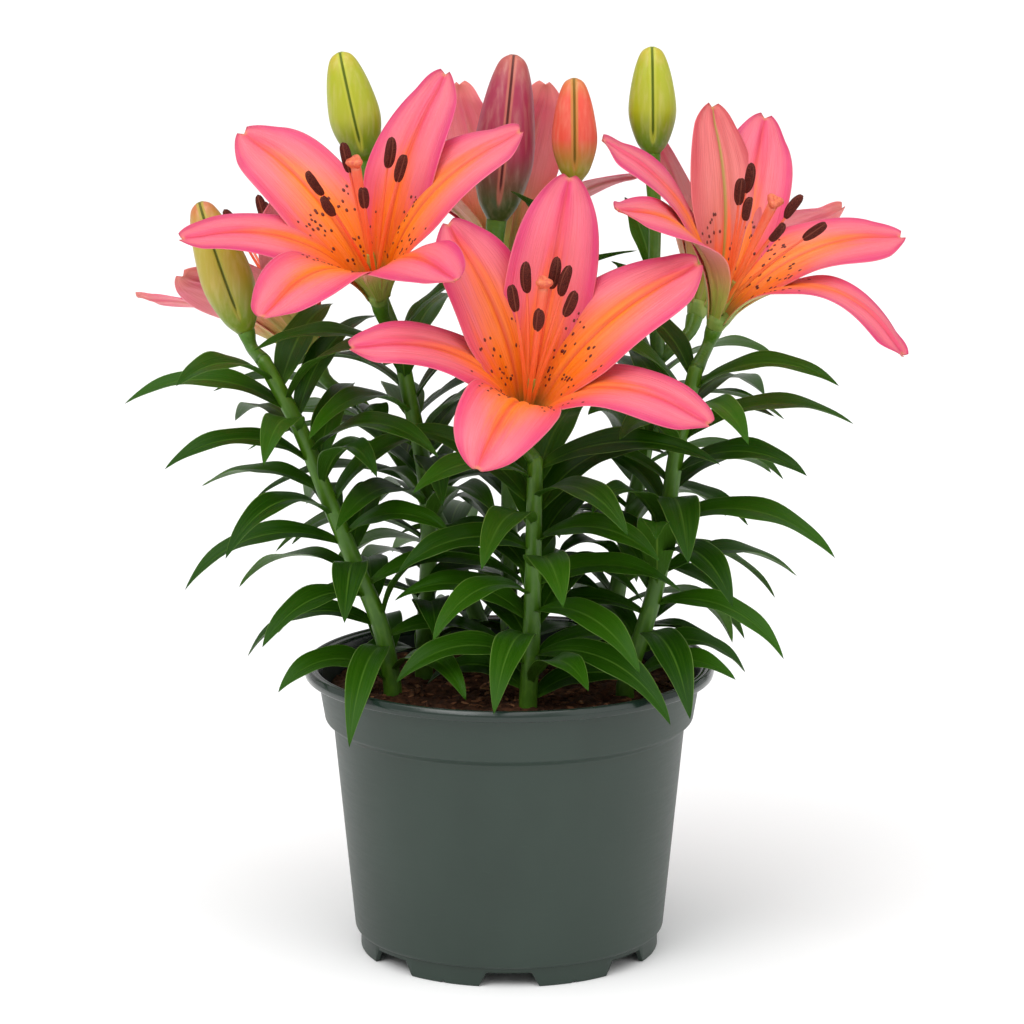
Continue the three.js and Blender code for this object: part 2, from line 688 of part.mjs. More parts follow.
function crowdOfFlowers() {
  const crowd = new Crowd(16);
  for (const [name, bloom] of Object.entries(BLOOMS)) {
    const frame = bloomFrame(bloom);
    for (const layer of ['inner', 'outer']) {
      for (const tepal of bloom[layer]) {
        const line = tepalMidline(tepal, layer);
        for (let i = 0; i <= 16; i += 1) {
          for (const side of [-1, -0.5, 0, 0.5, 1]) {
            crowd.add(tepalPoint(frame, tepal, layer, line, i / 16, side), ROOM.tepal, name);
          }
        }
      }
    }
  }
  for (const [name, { base, tip, radius }] of Object.entries(BUDS)) {
    for (let i = 0; i <= 8; i += 1) {
      const swell = radius * Math.sin(Math.PI * (0.15 + 0.1 * i));
      crowd.add(vector(base).lerp(vector(tip), i / 8), swell + ROOM.bud, name);
    }
  }
  for (const [name, stem] of Object.entries(STEMS)) {
    const rows = [stemPoints(stem)];
    for (const [flower, detour] of Object.entries(stem.pedicels)) {
      rows.push(pedicelPoints(stem, flower, detour));
    }
    for (const row of rows) {
      const curve = curveThrough(row);
      for (let i = 0; i <= 40; i += 1) {
        crowd.add(curve.getPointAt(i / 40), STEM.radius + ROOM.stem, name);
      }
    }
  }
  return crowd;
}

// A leaf tries its place as it grows, then turned aside, raised, or shorter, until it has room
const TRIES = [];
for (const shrink of [1, 0.84, 0.68]) {
  for (const raise of [0, 14, -12, 26]) {
    for (const turn of [0, 13, -13, 27, -27]) TRIES.push({ shrink, raise, turn });
  }
}

function leafAt(stem, curve, share, index, random) {
  const centre = curve.getPointAt(share);
  const low = 1 - (centre.z - SOIL.surfaceZ) / (stem.leaves.top - SOIL.surfaceZ);
  const { turnScatter, rise, fall } = LEAF;
  const azimuth = radians(stem.leaves.turn + index * GOLDEN_ANGLE + turnScatter * (random() - 0.5));
  const size = (0.86 + 0.26 * random()) * (low > 0.85 ? 0.8 : 1);
  const outward = Math.cos(azimuth) * centre.x + Math.sin(azimuth) * centre.y;
  const inward = outward < 0 ? 1 : 0;
  return {
    centre,
    azimuth,
    stemRadius: stemRadius(share),
    length: LEAF.length * size,
    width: LEAF.width * (0.88 + 0.24 * random()),
    inward,
    rise: radians(mix(rise.top, rise.low, low) + rise.inward * inward + rise.scatter * (random() - 0.5)),
    fall: radians(mix(fall.top, fall.low, low) + fall.inward * inward + fall.scatter * (random() - 0.5)),
  };
}

function bractAt(stem, [flower, share, azimuth]) {
  const curve = curveThrough(pedicelPoints(stem, flower, stem.pedicels[flower]));
  return {
    centre: curve.getPointAt(share),
    azimuth: radians(azimuth),
    inward: 0,
    stemRadius: PEDICEL.radius,
    length: BRACT.length,
    width: BRACT.width,
    rise: radians(BRACT.rise),
    fall: radians(BRACT.fall),
  };
}

function fitted(leaf, { shrink, raise, turn }) {
  const azimuth = leaf.azimuth + radians(turn);
  const root = leaf.centre.clone();
  root.x += (leaf.stemRadius - 1.4) * Math.cos(azimuth);
  root.y += (leaf.stemRadius - 1.4) * Math.sin(azimuth);
  const outside = Math.tanh((root.y + 0.5 * leaf.length * Math.sin(azimuth) - 12) / 25);
  return {
    ...leaf, azimuth, root, length: leaf.length * shrink,
    bank: Math.asin(-LEAF.bank * outside * Math.cos(azimuth)),
    rise: leaf.rise + radians(raise), fall: leaf.fall + radians(raise),
  };
}

// The leaves on the outside of the plant grow first, and the inner ones fill what room is left
function grownLeaves(crowd) {
  const random = seededRandom(LEAF.seed);
  const wanted = [];
  for (const [name, stem] of Object.entries(STEMS)) {
    const curve = curveThrough(stemPoints(stem));
    const span = curve.getPointAt(1).z - STEM.footZ;
    const first = (SOIL.surfaceZ + 4.5 - STEM.footZ) / span;
    const last = Math.min(0.985, (stem.leaves.top - STEM.footZ) / span);
    for (let i = 0; i < stem.leaves.count; i += 1) {
      const share = mix(first, last, i / (stem.leaves.count - 1));
      wanted.push({ name, leaf: leafAt(stem, curve, share, i, random) });
    }
    for (const bract of stem.bracts) wanted.push({ name, leaf: bractAt(stem, bract) });
  }
  wanted.sort((a, b) => a.leaf.inward - b.leaf.inward);
  const grown = Object.fromEntries(Object.keys(STEMS).map((name) => [name, []]));
  for (const { name, leaf } of wanted) {
    for (const attempt of TRIES) {
      const candidate = fitted(leaf, attempt);
      const probes = leafProbes(candidate);
      if (probes.every((point) => clearOfPot(point) && crowd.isClear(point, ROOM.leaf, name))) {
        grown[name].push(candidate);
        for (const point of probes) crowd.add(point, ROOM.leaf, name);
        break;
      }
    }
  }
  return grown;
}

function leafyStem(stem, leaves) {
  const points = stemPoints(stem);
  const solids = [solidOf(rod(points, stemRadius, STEM.sides, points.length))];
  for (const [flower, detour] of Object.entries(stem.pedicels)) {
    solids.push(pedicelSolid(pedicelPoints(stem, flower, detour), pedicelEnd(flower).radius));
  }
  for (const leaf of leaves) solids.push(leafSolid(leaf));
  return joined(solids);
}

// The whole plant in its pot

const plant = new THREE.Group();

function place(name, solid, color, roughness) {
  const material = new THREE.MeshStandardMaterial({ color, roughness, metalness: 0 });
  const mesh = new THREE.Mesh(geometryOf(solid), material);
  mesh.name = name;
  plant.add(mesh);
}

const leaves = grownLeaves(crowdOfFlowers());
const paths = Object.values(STEMS).map(stemPoints);

place('pot', pot(), COLOURS.pot, 0.45);
place('soil', soil(paths), COLOURS.soil, 0.95);
paths.forEach((path, i) => place(`bulb_${i + 1}`, bulb(path[0], 0), COLOURS.bulb, 0.7));
for (const [name, stem] of Object.entries(STEMS)) {
  place(`leafy_stem_${name}`, leafyStem(stem, leaves[name]), COLOURS.leaf, 0.4);
}
for (const [name, bloom] of Object.entries(BLOOMS)) {
  place(`${name}_tepals`, bloomTepals(bloom), COLOURS.tepal, 0.5);
  place(`${name}_stamens`, bloomStamens(bloom), COLOURS.stamens, 0.6);
}
for (const [name, spec] of Object.entries(BUDS)) place(name, bud(spec), spec.colour, 0.5);

export default plant;
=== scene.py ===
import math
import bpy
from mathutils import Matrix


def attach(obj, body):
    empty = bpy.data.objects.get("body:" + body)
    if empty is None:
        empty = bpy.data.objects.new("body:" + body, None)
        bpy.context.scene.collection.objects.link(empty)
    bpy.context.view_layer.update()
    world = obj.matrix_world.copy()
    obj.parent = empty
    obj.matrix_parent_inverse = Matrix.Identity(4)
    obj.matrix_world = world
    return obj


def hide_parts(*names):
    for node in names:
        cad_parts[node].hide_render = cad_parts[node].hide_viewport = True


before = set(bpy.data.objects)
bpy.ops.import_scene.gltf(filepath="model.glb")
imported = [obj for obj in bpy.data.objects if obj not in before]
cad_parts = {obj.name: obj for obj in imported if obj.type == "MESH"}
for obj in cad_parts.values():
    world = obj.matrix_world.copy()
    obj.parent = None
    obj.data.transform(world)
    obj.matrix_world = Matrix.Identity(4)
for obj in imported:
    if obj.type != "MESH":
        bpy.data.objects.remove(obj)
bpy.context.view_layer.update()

# A potted Asiatic lily in full bloom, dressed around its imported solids.
# Lengths are millimetres until a piece is made, +Z up, and the photo looks along +Y.

from types import SimpleNamespace as Named

import bmesh
import bpy
import numpy as np
from mathutils import noise

MM = 0.001
UP = np.array([0.0, 0.0, 1.0])
EAST = np.array([1.0, 0.0, 0.0])
NORTH = np.array([0.0, 1.0, 0.0])

# Driving dimensions, the same as the solids have

POT = Named(
    height=108.6, rim_radius=76.2, lip_depth=4.2, collar_top=71.1, collar_foot=68.4, collar_foot_z=86.4,
    body_top=65.3, body_foot=57.7, body_foot_z=8.4, ring_radius=55.6, ring_z=7.4, floor_z=5.6, wall=1.8,
)
FEET = Named(count=7, notch_top=5.4, narrow=8.2, wide=11.25, nick=0.9, nick_width=1.3, sides=252)
DRAIN = Named(count=4, radius=3.4, circle=40)
FIT = 0.35
SOIL = Named(surface_z=98, roughness=1.3)
STEM = Named(radius=3.6, tip_radius=2.8, foot_z=61)
PEDICEL = Named(radius=2.3)

# path, the points that each pedicel passes, [count, turn, top] of the leaves, and the bracts
STEMS = {
    "front": Named(
        path=[(7, -31), (8, -31, 120), (8.5, -31, 145), (9, -31, 172), (9.5, -31, 190)],
        pedicels={"bloom_front": []},
        leaves=(27, 20, 189),
        bracts=[],
    ),
    "left": Named(
        path=[
            (-43, -12), (-47, -12, 124), (-56, -12, 147), (-66, -12, 172), (-76, -12, 198), (-89, -10, 223),
        ],
        pedicels={"bud_tan": []},
        leaves=(31, 200, 222),
        bracts=[],
    ),
    "middle_left": Named(
        path=[(-32, 19), (-31, 17, 124), (-30, 14, 148), (-31, 12, 174), (-37, 8, 208), (-40, 4, 226)],
        pedicels={"bloom_left": [], "bud_green_left": [(-48, 15, 246), (-54, 25, 270)]},
        leaves=(28, 95, 225),
        bracts=[("bud_green_left", 0.12, 165), ("bud_green_left", 0.34, 60), ("bloom_left", 0.2, 350)],
    ),
    "right": Named(
        path=[(43, -10), (50, -9, 124), (55, -8, 143), (58, -8, 166), (61, -8, 188), (68, -6, 219)],
        pedicels={"bloom_right": []},
        leaves=(31, 310, 218),
        bracts=[],
    ),
    "back_right": Named(
        path=[(37, 24), (40, 27, 124), (45, 32, 152), (51, 36, 182), (56, 38, 216)],
        pedicels={"bloom_back_right": [], "bud_green_right": [(54, 35, 240), (54, 32, 268)]},
        leaves=(28, 60, 214),
        bracts=[("bud_green_right", 0.2, 235), ("bud_green_right", 0.42, 110)],
    ),
    "back": Named(
        path=[(1, 9), (0, 12, 124), (0, 17, 152), (0, 23, 190), (0, 29, 222)],
        pedicels={
            "bloom_back": [],
            "bud_dusky": [(-3, 26, 248)],
            "bud_coral": [(14, 21, 248), (23, 14, 268)],
        },
        leaves=(27, 0, 221),
        bracts=[("bud_coral", 0.62, 230), ("bud_dusky", 0.4, 60)],
    ),
    "back_left": Named(
        path=[(-8, 41), (-16, 43, 126), (-26, 44, 150), (-40, 44, 175), (-56, 44, 197)],
        pedicels={"bloom_back_left": []},
        leaves=(25, 130, 195),
        bracts=[],
    ),
}

LEAF = Named(
    length=63, width=12.5, thickness=1.4, bank=0.45, seed=11, turn_scatter=16,
    least_size=0.86, size_scatter=0.26, least_width=0.88, width_scatter=0.24, foot=0.85, foot_size=0.8,
    first_height=4.5, last_share=0.985, sunk=1.4, bank_from=12, bank_over=25,
    rise_top=42, rise_low=26, rise_inward=20, rise_scatter=14,
    fall_top=-32, fall_low=-74, fall_inward=16, fall_scatter=20,
)
BRACT = Named(length=40, width=10, rise=68, fall=14)
GOLDEN_ANGLE = 137.508
ROOM = Named(leaf=2.3, tepal=2.2, bud=0.5, stem=0.3, over=3.5, inside=5, outside=3, lowest=88)

TEPAL = Named(
    thickness=1.0, start_angle=14, widest=0.52,
    start_radius={"inner": 3.0, "outer": 3.9}, cup={"inner": 0.3, "outer": 0.08},
)
RECEPTACLE = Named(bottom=-4, top=2.6, low_radius=3.2, high_radius=4.7)
STAMEN = Named(length=54, anther_length=12.5, filament=0.75)
PISTIL = Named(length=53, radius=1.1, ovary=1.8, ovary_length=13)

EVEN_STAMENS = [(turn, 14) for turn in range(0, 360, 60)]

# A tepal is (azimuth, length, width, angle at its tip), and a stamen (azimuth, angle from the axis)
BLOOMS = {
    "bloom_left": Named(
        base=(-47.6, -7.3, 247), axis=(-0.137, -0.519, 0.844), pistil=(7, 7),
        inner=[(57, 81, 34, 95), (-59, 85, 33, 89), (161, 80, 32, 104)],
        outer=[(-23, 85, 29, 73), (-132, 80, 28, 96), (109, 81, 26, 103)],
        stamens=[(28, 9), (114, 14), (164, 18), (210, 15), (288, 18), (324, 18)],
    ),
    "bloom_front": Named(
        base=(6, -33.1, 205.6), axis=(0.127, -0.545, 0.829), pistil=(353, 13),
        inner=[(32, 78, 36, 72), (-76, 87, 36, 77), (150, 80, 34, 116)],
        outer=[(-18, 89, 32, 57), (-128, 82, 28, 114), (87, 82, 26, 113)],
        stamens=[(16, 16), (74, 12), (150, 10), (323, 16), (340, 20), (261, 8)],
    ),
    "bloom_right": Named(
        base=(76.1, -1.6, 237.1), axis=(0.309, -0.27, 0.912), pistil=(140, 13),
        inner=[(-20, 80, 30, 64), (-120, 77, 36, 93), (75, 82, 30, 100)],
        outer=[(37, 83, 27, 88), (-46, 81, 29, 69), (-167, 84, 25, 135)],
        stamens=[(91, 18), (60, 9), (112, 24), (167, 16), (140, 30), (176, 28)],
    ),
    "bloom_back_left": Named(
        base=(-74, 42, 216), axis=(-0.5, 0.3, 0.81), pistil=(180, 8),
        inner=[(26, 72, 31, 74), (150, 70, 31, 72), (270, 66, 31, 84)],
        outer=[(-30, 74, 25, 78), (90, 72, 25, 92), (210, 71, 25, 66)],
        stamens=EVEN_STAMENS,
    ),
    "bloom_back": Named(
        base=(-2, 45, 246), axis=(0, 0.35, 0.94), pistil=(180, 8),
        inner=[(30, 74, 31, 34), (150, 72, 31, 96), (270, 70, 31, 96)],
        outer=[(-30, 74, 26, 36), (90, 70, 25, 96), (210, 72, 25, 100)],
        stamens=EVEN_STAMENS,
    ),
    "bloom_back_right": Named(
        base=(71, 45, 234), axis=(0.34, 0.42, 0.84), pistil=(180, 8),
        inner=[(30, 70, 31, 66), (150, 70, 31, 68), (270, 72, 31, 66)],
        outer=[(-30, 70, 25, 62), (96, 66, 25, 70), (210, 70, 25, 66)],
        stamens=EVEN_STAMENS,
    ),
}

BUDS = {
    "bud_green_left": Named(base=(-53, 25, 292), tip=(-62, 24, 332.5), radius=9.4, slot="green_bud"),
    "bud_dusky": Named(base=(-4.5, 26, 270), tip=(1.8, 26, 331.7), radius=11.2, slot="dusky_bud"),
    "bud_coral": Named(base=(24, 14, 286), tip=(23.6, 14, 324), radius=8.3, slot="coral_bud"),
    "bud_green_right": Named(base=(53, 32, 294), tip=(52.5, 32, 333.7), radius=8.8, slot="green_bud"),
    "bud_tan": Named(base=(-95.9, -3, 233), tip=(-112.3, -3, 281), radius=9.5, slot="tan_bud"),
}
BUD_NECK = 0.34
BUD_SHAPE = [(BUD_NECK, 0), (0.7, 0.12), (1, 0.38), (0.86, 0.66), (0.5, 0.92), (0, 1)]

# The camera that took the photo

CAMERA = Named(place=(1.05, -1500, 478.1), tilt=78.21, lens=146.2, sensor=36)


def add_object(name, data):
    thing = bpy.data.objects.new(name, data)
    bpy.context.scene.collection.objects.link(thing)
    return thing


def make_camera():
    data = bpy.data.cameras.new("camera")
    data.lens = CAMERA.lens
    data.sensor_width = CAMERA.sensor
    camera = add_object("camera", data)
    camera.location = [MM * value for value in CAMERA.place]
    camera.rotation_euler = (math.radians(CAMERA.tilt), 0, 0)
    bpy.context.scene.camera = camera


make_camera()


# Small tools

def unit(vector):
    return np.asarray(vector, float) / np.linalg.norm(vector)


def square_to(vector, along):
    """The direction of a vector once its part along another is taken off."""
    return unit(vector - along * (vector @ along))


def even_turns(count):
    return 2 * np.pi * np.arange(count) / count


def running_sum(values):
    return np.concatenate([[0], np.cumsum(values)])


def there_and_back(row):
    """A row and its return, without its two ends again."""
    return np.concatenate([row, row[-2:0:-1]])


def mix(start, end, share):
    return start + (end - start) * share


def smooth(value, low, high):
    """0 below low, 1 above high, and an even step between them."""
    share = np.clip((np.asarray(value, float) - low) / (high - low), 0, 1)
    return share * share * (3 - 2 * share)


def seeded_random(seed):
    """Random numbers from 0 to 1, by the rule that the solids' leaves are grown by."""
    word = 0xFFFFFFFF
    state = seed
    while True:
        state = (state + 0x6D2B79F5) & word
        mixed = ((state ^ (state >> 15)) * (state | 1)) & word
        mixed ^= (mixed + (mixed ^ (mixed >> 7)) * (mixed | 61)) & word
        yield (mixed ^ (mixed >> 14)) / 4294967296


TRACK_STEPS = 200


class Curve:
    """The centripetal spline that the solids follow, by shares of its length."""

    def __init__(self, points):
        points = [np.array(point, float) for point in points]
        before = 2 * points[0] - points[1]
        after = 2 * points[-1] - points[-2]
        self.points = np.array([before, *points, after])
        self.parameters = np.linspace(0, 1, TRACK_STEPS + 1)
        track = self.at_parameter(self.parameters)
        self.reach = running_sum(np.linalg.norm(np.diff(track, axis=0), axis=1))

    def at_parameter(self, parameter):
        spans = len(self.points) - 3
        place = spans * np.asarray(parameter, float)
        index = np.minimum(np.floor(place).astype(int), spans - 1)
        w = (place - index)[..., None]
        p0, p1, p2, p3 = (self.points[index + step] for step in range(4))

        def knot(a, b):
            return (((a - b) ** 2).sum(-1) ** 0.25)[..., None]

        d0, d1, d2 = knot(p0, p1), knot(p1, p2), knot(p2, p3)
        t1 = d1 * ((p1 - p0) / d0 - (p2 - p0) / (d0 + d1) + (p2 - p1) / d1)
        t2 = d1 * ((p2 - p1) / d1 - (p3 - p1) / (d1 + d2) + (p3 - p2) / d2)
        c2 = -3 * p1 + 3 * p2 - 2 * t1 - t2
        c3 = 2 * p1 - 2 * p2 + t1 + t2
        return p1 + t1 * w + c2 * w ** 2 + c3 * w ** 3

    def at(self, share):
        reach = np.asarray(share) * self.reach[-1]
        return self.at_parameter(np.interp(reach, self.reach, self.parameters))


# Meshes

MARKS = ("along", "across", "upper", "variety")


class Skin:
    """Points and faces gathered for one piece, with the marks that its materials read at each point."""

    def __init__(self):
        self.points = []
        self.marks = []
        self.faces = []
        self.slots = []
        self.count = 0

    def _keep(self, points, marks):
        self.points.append(points)
        self.marks.append(marks)
        first = self.count
        self.count += len(points)
        return first

    def _face(self, faces, slot):
        self.faces += faces
        self.slots += [slot] * len(faces)

    def add(self, points, faces, marks, slot=0):
        first = self._keep(points, np.broadcast_to(marks, (len(points), len(MARKS))))
        self._face((np.asarray(faces) + first).tolist(), slot)

    def loft(self, rings, marks, slot=0, start=None, tip=None):
        """A closed skin over rings that turn right-handed about the way they follow each other."""
        rows, size = rings.shape[:2]
        marks = np.broadcast_to(marks, (rows, size, len(MARKS)))
        first = self._keep(rings.reshape(-1, 3), marks.reshape(-1, len(MARKS)))
        index = first + np.arange(rows * size).reshape(rows, size)
        ahead = np.roll(index, -1, axis=1)
        quads = np.stack([index[:-1], ahead[:-1], ahead[1:], index[1:]], axis=-1)
        self._face(quads.reshape(-1, 4).tolist(), slot)
        for end, point, flip in ((0, start, True), (-1, tip, False)):
            ring = index[end][::-1] if flip else index[end]
            if point is None:
                self._face([ring.tolist()], slot)
                continue
            apex = self._keep(np.array([point], float), marks[end].mean(axis=0)[None])
            beside = np.roll(ring, -1)
            self._face([[a, b, apex] for a, b in zip(ring.tolist(), beside.tolist())], slot)

    def piece(self, name, materials):
        mesh = bpy.data.meshes.new(name)
        mesh.from_pydata((MM * np.concatenate(self.points)).tolist(), [], self.faces)
        marks = np.concatenate(self.marks).astype(np.float32)
        for column, mark in enumerate(MARKS):
            attribute = mesh.attributes.new(mark, "FLOAT", "POINT")
            attribute.data.foreach_set("value", np.ascontiguousarray(marks[:, column]))
        for material in materials:
            mesh.materials.append(material)
        mesh.polygons.foreach_set("material_index", self.slots)
        mesh.polygons.foreach_set("use_smooth", [True] * len(self.faces))
        mesh.update()
        return add_object(name, mesh)


def marks_for(along, across=0.0, upper=1.0, variety=0.5):
    """The four marks in one array, whatever shapes they come in."""
    return np.stack(np.broadcast_arrays(along, across, upper, variety), axis=-1)


def dress(skin, name, materials):
    """Makes the piece that stands for a solid and rides where it is."""
    piece = skin.piece(f"{name}_look", materials)
    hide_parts(name)
    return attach(piece, "root")


def wheel_of(angles, across, beside):
    """Directions at some angles round from across to beside."""
    return np.outer(np.cos(angles), across) + np.outer(np.sin(angles), beside)


def turned_rings(centres, radii, sides, across):
    """Round rings along some points, with a row of radii for each, of one value or one for each side."""
    centres = np.asarray(centres, float)
    tangents = np.gradient(centres, axis=0)
    angles = even_turns(sides)
    rings = []
    for centre, tangent, radius in zip(centres, tangents, radii):
        along = unit(tangent)
        across = square_to(across, along)
        wheel = wheel_of(angles, across, np.cross(along, across))
        rings.append(centre + np.reshape(radius, (-1, 1)) * wheel)
    return np.array(rings)


# Materials

def colour_of(red, green, blue):
    """A colour as a screen shows it, 0 to 255, turned into light."""
    channels = [value / 255 for value in (red, green, blue)]
    linear = [v / 12.92 if v <= 0.04045 else ((v + 0.055) / 1.055) ** 2.4 for v in channels]
    return (*linear, 1.0)


class Paint:
    """A material and the nodes that colour it."""

    def __init__(self, name, roughness=0.5, **sockets):
        self.material = bpy.data.materials.new(name)
        self.material.use_nodes = True
        self.tree = self.material.node_tree
        self.shader = self.tree.nodes["Principled BSDF"]
        self.shader.inputs["Roughness"].default_value = roughness
        for socket, value in sockets.items():
            self.shader.inputs[socket.replace("_", " ")].default_value = value

    def node(self, kind, inputs=None, **settings):
        node = self.tree.nodes.new(kind)
        for key, value in settings.items():
            setattr(node, key, value)
        for key, value in (inputs or {}).items():
            self.feed(node.inputs[key], value)
        return node

    def feed(self, socket, value):
        if isinstance(value, bpy.types.NodeSocket):
            self.tree.links.new(value, socket)
        else:
            socket.default_value = value

    def mark(self, name):
        return self.node("ShaderNodeAttribute", attribute_name=name).outputs["Fac"]

    def math(self, operation, a, b=0.0):
        return self.node("ShaderNodeMath", {0: a, 1: b}, operation=operation).outputs[0]

    def times(self, a, b):
        return self.math("MULTIPLY", a, b)

    def plus(self, a, b):
        return self.math("ADD", a, b)

    def rest_of(self, share):
        return self.math("SUBTRACT", 1.0, share)

    def tint(self, colour, share, most, tone):
        """The colour with some of a tone over it, where the share is 1 as much as most."""
        return self.mix(self.times(share, most), colour, colour_of(*tone))

    def step(self, value, low, high):
        """An even step from 0 at low to 1 at high."""
        inputs = {"Value": value, "From Min": low, "From Max": high}
        return self.node("ShaderNodeMapRange", inputs, interpolation_type="SMOOTHSTEP").outputs[0]

    def fade(self, value, low, high):
        return self.rest_of(self.step(value, low, high))

    def mix(self, share, a, b, blend="MIX"):
        inputs = {"Factor": share, 6: a, 7: b}
        return self.node("ShaderNodeMix", inputs, data_type="RGBA", blend_type=blend).outputs[2]

    def ramp(self, share, stops):
        node = self.node("ShaderNodeValToRGB", {"Fac": share})
        elements = node.color_ramp.elements
        while len(elements) < len(stops):
            elements.new(0.5)
        for element, (place, tone) in zip(elements, stops):
            element.position = place
            element.color = colour_of(*tone)
        return node.outputs["Color"]

    def vector(self, x, y, z=0.0):
        return self.node("ShaderNodeCombineXYZ", {"X": x, "Y": y, "Z": z}).outputs[0]

    def place(self, scale=(1, 1, 1)):
        """The point's own place in the piece, stretched."""
        where = self.node("ShaderNodeTexCoord").outputs["Object"]
        return self.node("ShaderNodeMapping", {"Vector": where, "Scale": scale}).outputs[0]

    def noise(self, where, scale, detail=3.0, roughness=0.5):
        inputs = {"Vector": where, "Scale": scale, "Detail": detail, "Roughness": roughness}
        return self.node("ShaderNodeTexNoise", inputs).outputs["Fac"]

    def finish(self, colour, height=None, strength=0.3, distance=0.0005, roughness=None):
        self.feed(self.shader.inputs["Base Color"], colour)
        if roughness is not None:
            self.feed(self.shader.inputs["Roughness"], roughness)
        if height is not None:
            inputs = {"Height": height, "Strength": strength, "Distance": distance}
            self.feed(self.shader.inputs["Normal"], self.node("ShaderNodeBump", inputs).outputs[0])
        return self.material


def streaks(paint, count, length):
    """Fine lines that run the length of a blade, from 0 to 1."""
    across = paint.times(paint.mark("across"), count)
    along = paint.times(paint.mark("along"), length)
    shift = paint.times(paint.mark("variety"), 40.0)
    return paint.noise(paint.vector(across, along, shift), 1.0, detail=2.0)


# Tones of a tepal from its orange heart outward

CORAL = [(220, 70, 98), (213, 54, 108), (200, 42, 102)]
BLUSH = [(208, 108, 92), (204, 98, 96), (196, 70, 80)]


def tepal_paint(name, reach, tones=CORAL):
    """A pink blade with an orange heart, greenish at the claw, and paler with a green rib behind.

    reach is how far the heart goes along the blade. A blushed tepal has a green line down its middle.
    """
    glow = dict(Subsurface_Weight=0.1, Subsurface_Scale=0.004)
    paint = Paint(name, roughness=0.42, Specular_IOR_Level=0.4, **glow)
    paint.shader.inputs["Subsurface Radius"].default_value = (1.0, 0.45, 0.3)
    along = paint.mark("along")
    side = paint.math("ABSOLUTE", paint.mark("across"))
    lines = streaks(paint, 9.0, 1.6)
    out = paint.plus(side, paint.times(along, 1.7))
    out = paint.plus(out, paint.times(paint.math("SUBTRACT", lines, 0.5), 0.55))
    out = paint.times(paint.math("SUBTRACT", out, reach - 0.75), 0.5)
    face = paint.ramp(out, [
        (0.0, (246, 138, 16)), (0.26, (243, 122, 22)), (0.4, (238, 100, 48)),
        *zip((0.56, 0.78, 1.0), tones),
    ])
    throat = paint.fade(along, 0.04, 0.17)
    face = paint.tint(face, throat, 0.8, (170, 150, 62))
    groove = paint.fade(side, 0.015, 0.075)
    if tones is BLUSH:
        face = paint.tint(face, groove, 0.85, (156, 142, 56))
    else:
        groove = paint.times(groove, paint.step(along, 0.05, 0.3))
        face = paint.tint(face, groove, 0.5, (202, 40, 58))
    tip = paint.times(paint.step(along, 0.97, 0.99), paint.fade(side, 0.1, 0.6))
    face = paint.tint(face, tip, 0.45, (214, 168, 92))
    back = paint.ramp(along, [
        (0.0, (130, 166, 44)), (0.16, (176, 188, 78)), (0.32, (222, 156, 104)),
        (0.55, (246, 138, 146)), (0.85, (240, 106, 134)), (1.0, (210, 104, 92)),
    ])
    rib = paint.fade(side, 0.03, 0.16)
    rib = paint.times(rib, paint.fade(along, 0.45, 0.95))
    back = paint.tint(back, rib, 0.65, (160, 158, 84))
    colour = paint.mix(paint.mark("upper"), back, face)
    wash = paint.noise(paint.place(), 60.0, detail=2.0)
    light = paint.plus(paint.times(lines, 0.6), paint.times(wash, 0.4))
    colour = paint.tint(colour, paint.step(light, 0.35, 0.7), 0.14, (255, 168, 150))
    fine = streaks(paint, 30.0, 5.0)
    dark = paint.times(paint.step(fine, 0.45, 0.75), 0.2)
    colour = paint.mix(dark, colour, colour_of(206, 40, 50), blend="MULTIPLY")
    # Painted highlight: a paler pink band between the midrib and the margin over the upper blade, standing
    # in for the soft sheen there
    pale = paint.times(paint.step(side, 0.08, 0.4), paint.fade(side, 0.55, 0.95))
    pale = paint.times(pale, paint.step(along, 0.3, 0.62))
    colour = paint.tint(colour, pale, 0.34, (248, 146, 140))
    rim = paint.step(side, 0.95, 1.0)
    colour = paint.tint(colour, rim, 0.25, (250, 150, 156))
    roughness = paint.plus(0.36, paint.times(fine, 0.2))
    return paint.finish(colour, fine, strength=0.6, distance=0.0005, roughness=roughness)


def plain_paint(name, dark, light, scale, roughness=0.5, stretch=(1, 1, 1), strength=0.3):
    """Two tones that a noise mixes, with the same noise as low relief."""
    paint = Paint(name, roughness)
    grain = paint.noise(paint.place(stretch), scale, detail=4.0, roughness=0.6)
    colour = paint.mix(paint.step(grain, 0.3, 0.7), colour_of(*dark), colour_of(*light))
    return paint.finish(colour, grain, strength=strength, distance=0.0003)


def leaf_paint():
    """Glossy green with a pale midrib, fine parallel veins and a thin pale margin, duller behind."""
    paint = Paint("leaf", roughness=0.36, Specular_IOR_Level=0.14)
    along, variety = paint.mark("along"), paint.mark("variety")
    side = paint.math("ABSOLUTE", paint.mark("across"))
    veins = streaks(paint, 16.0, 2.0)
    face = paint.mix(variety, colour_of(22, 58, 2), colour_of(46, 92, 6))
    face = paint.tint(face, paint.step(veins, 0.35, 0.7), 0.25, (66, 106, 20))
    rib = paint.fade(side, 0.02, 0.08)
    rib = paint.times(rib, paint.fade(along, 0.5, 1.0))
    edge = paint.step(side, 0.92, 1.0)
    face = paint.tint(face, rib, 0.35, (104, 146, 54))
    face = paint.tint(face, edge, 0.5, (140, 176, 84))
    root = paint.fade(along, 0.0, 0.14)
    face = paint.tint(face, root, 0.55, (78, 124, 22))
    back = paint.mix(variety, colour_of(44, 80, 14), colour_of(68, 108, 28))
    back = paint.tint(back, rib, 0.5, (116, 148, 58))
    colour = paint.mix(paint.mark("upper"), back, face)
    roughness = paint.plus(0.26, paint.times(veins, 0.22))
    return paint.finish(colour, veins, strength=0.5, distance=0.0004, roughness=roughness)


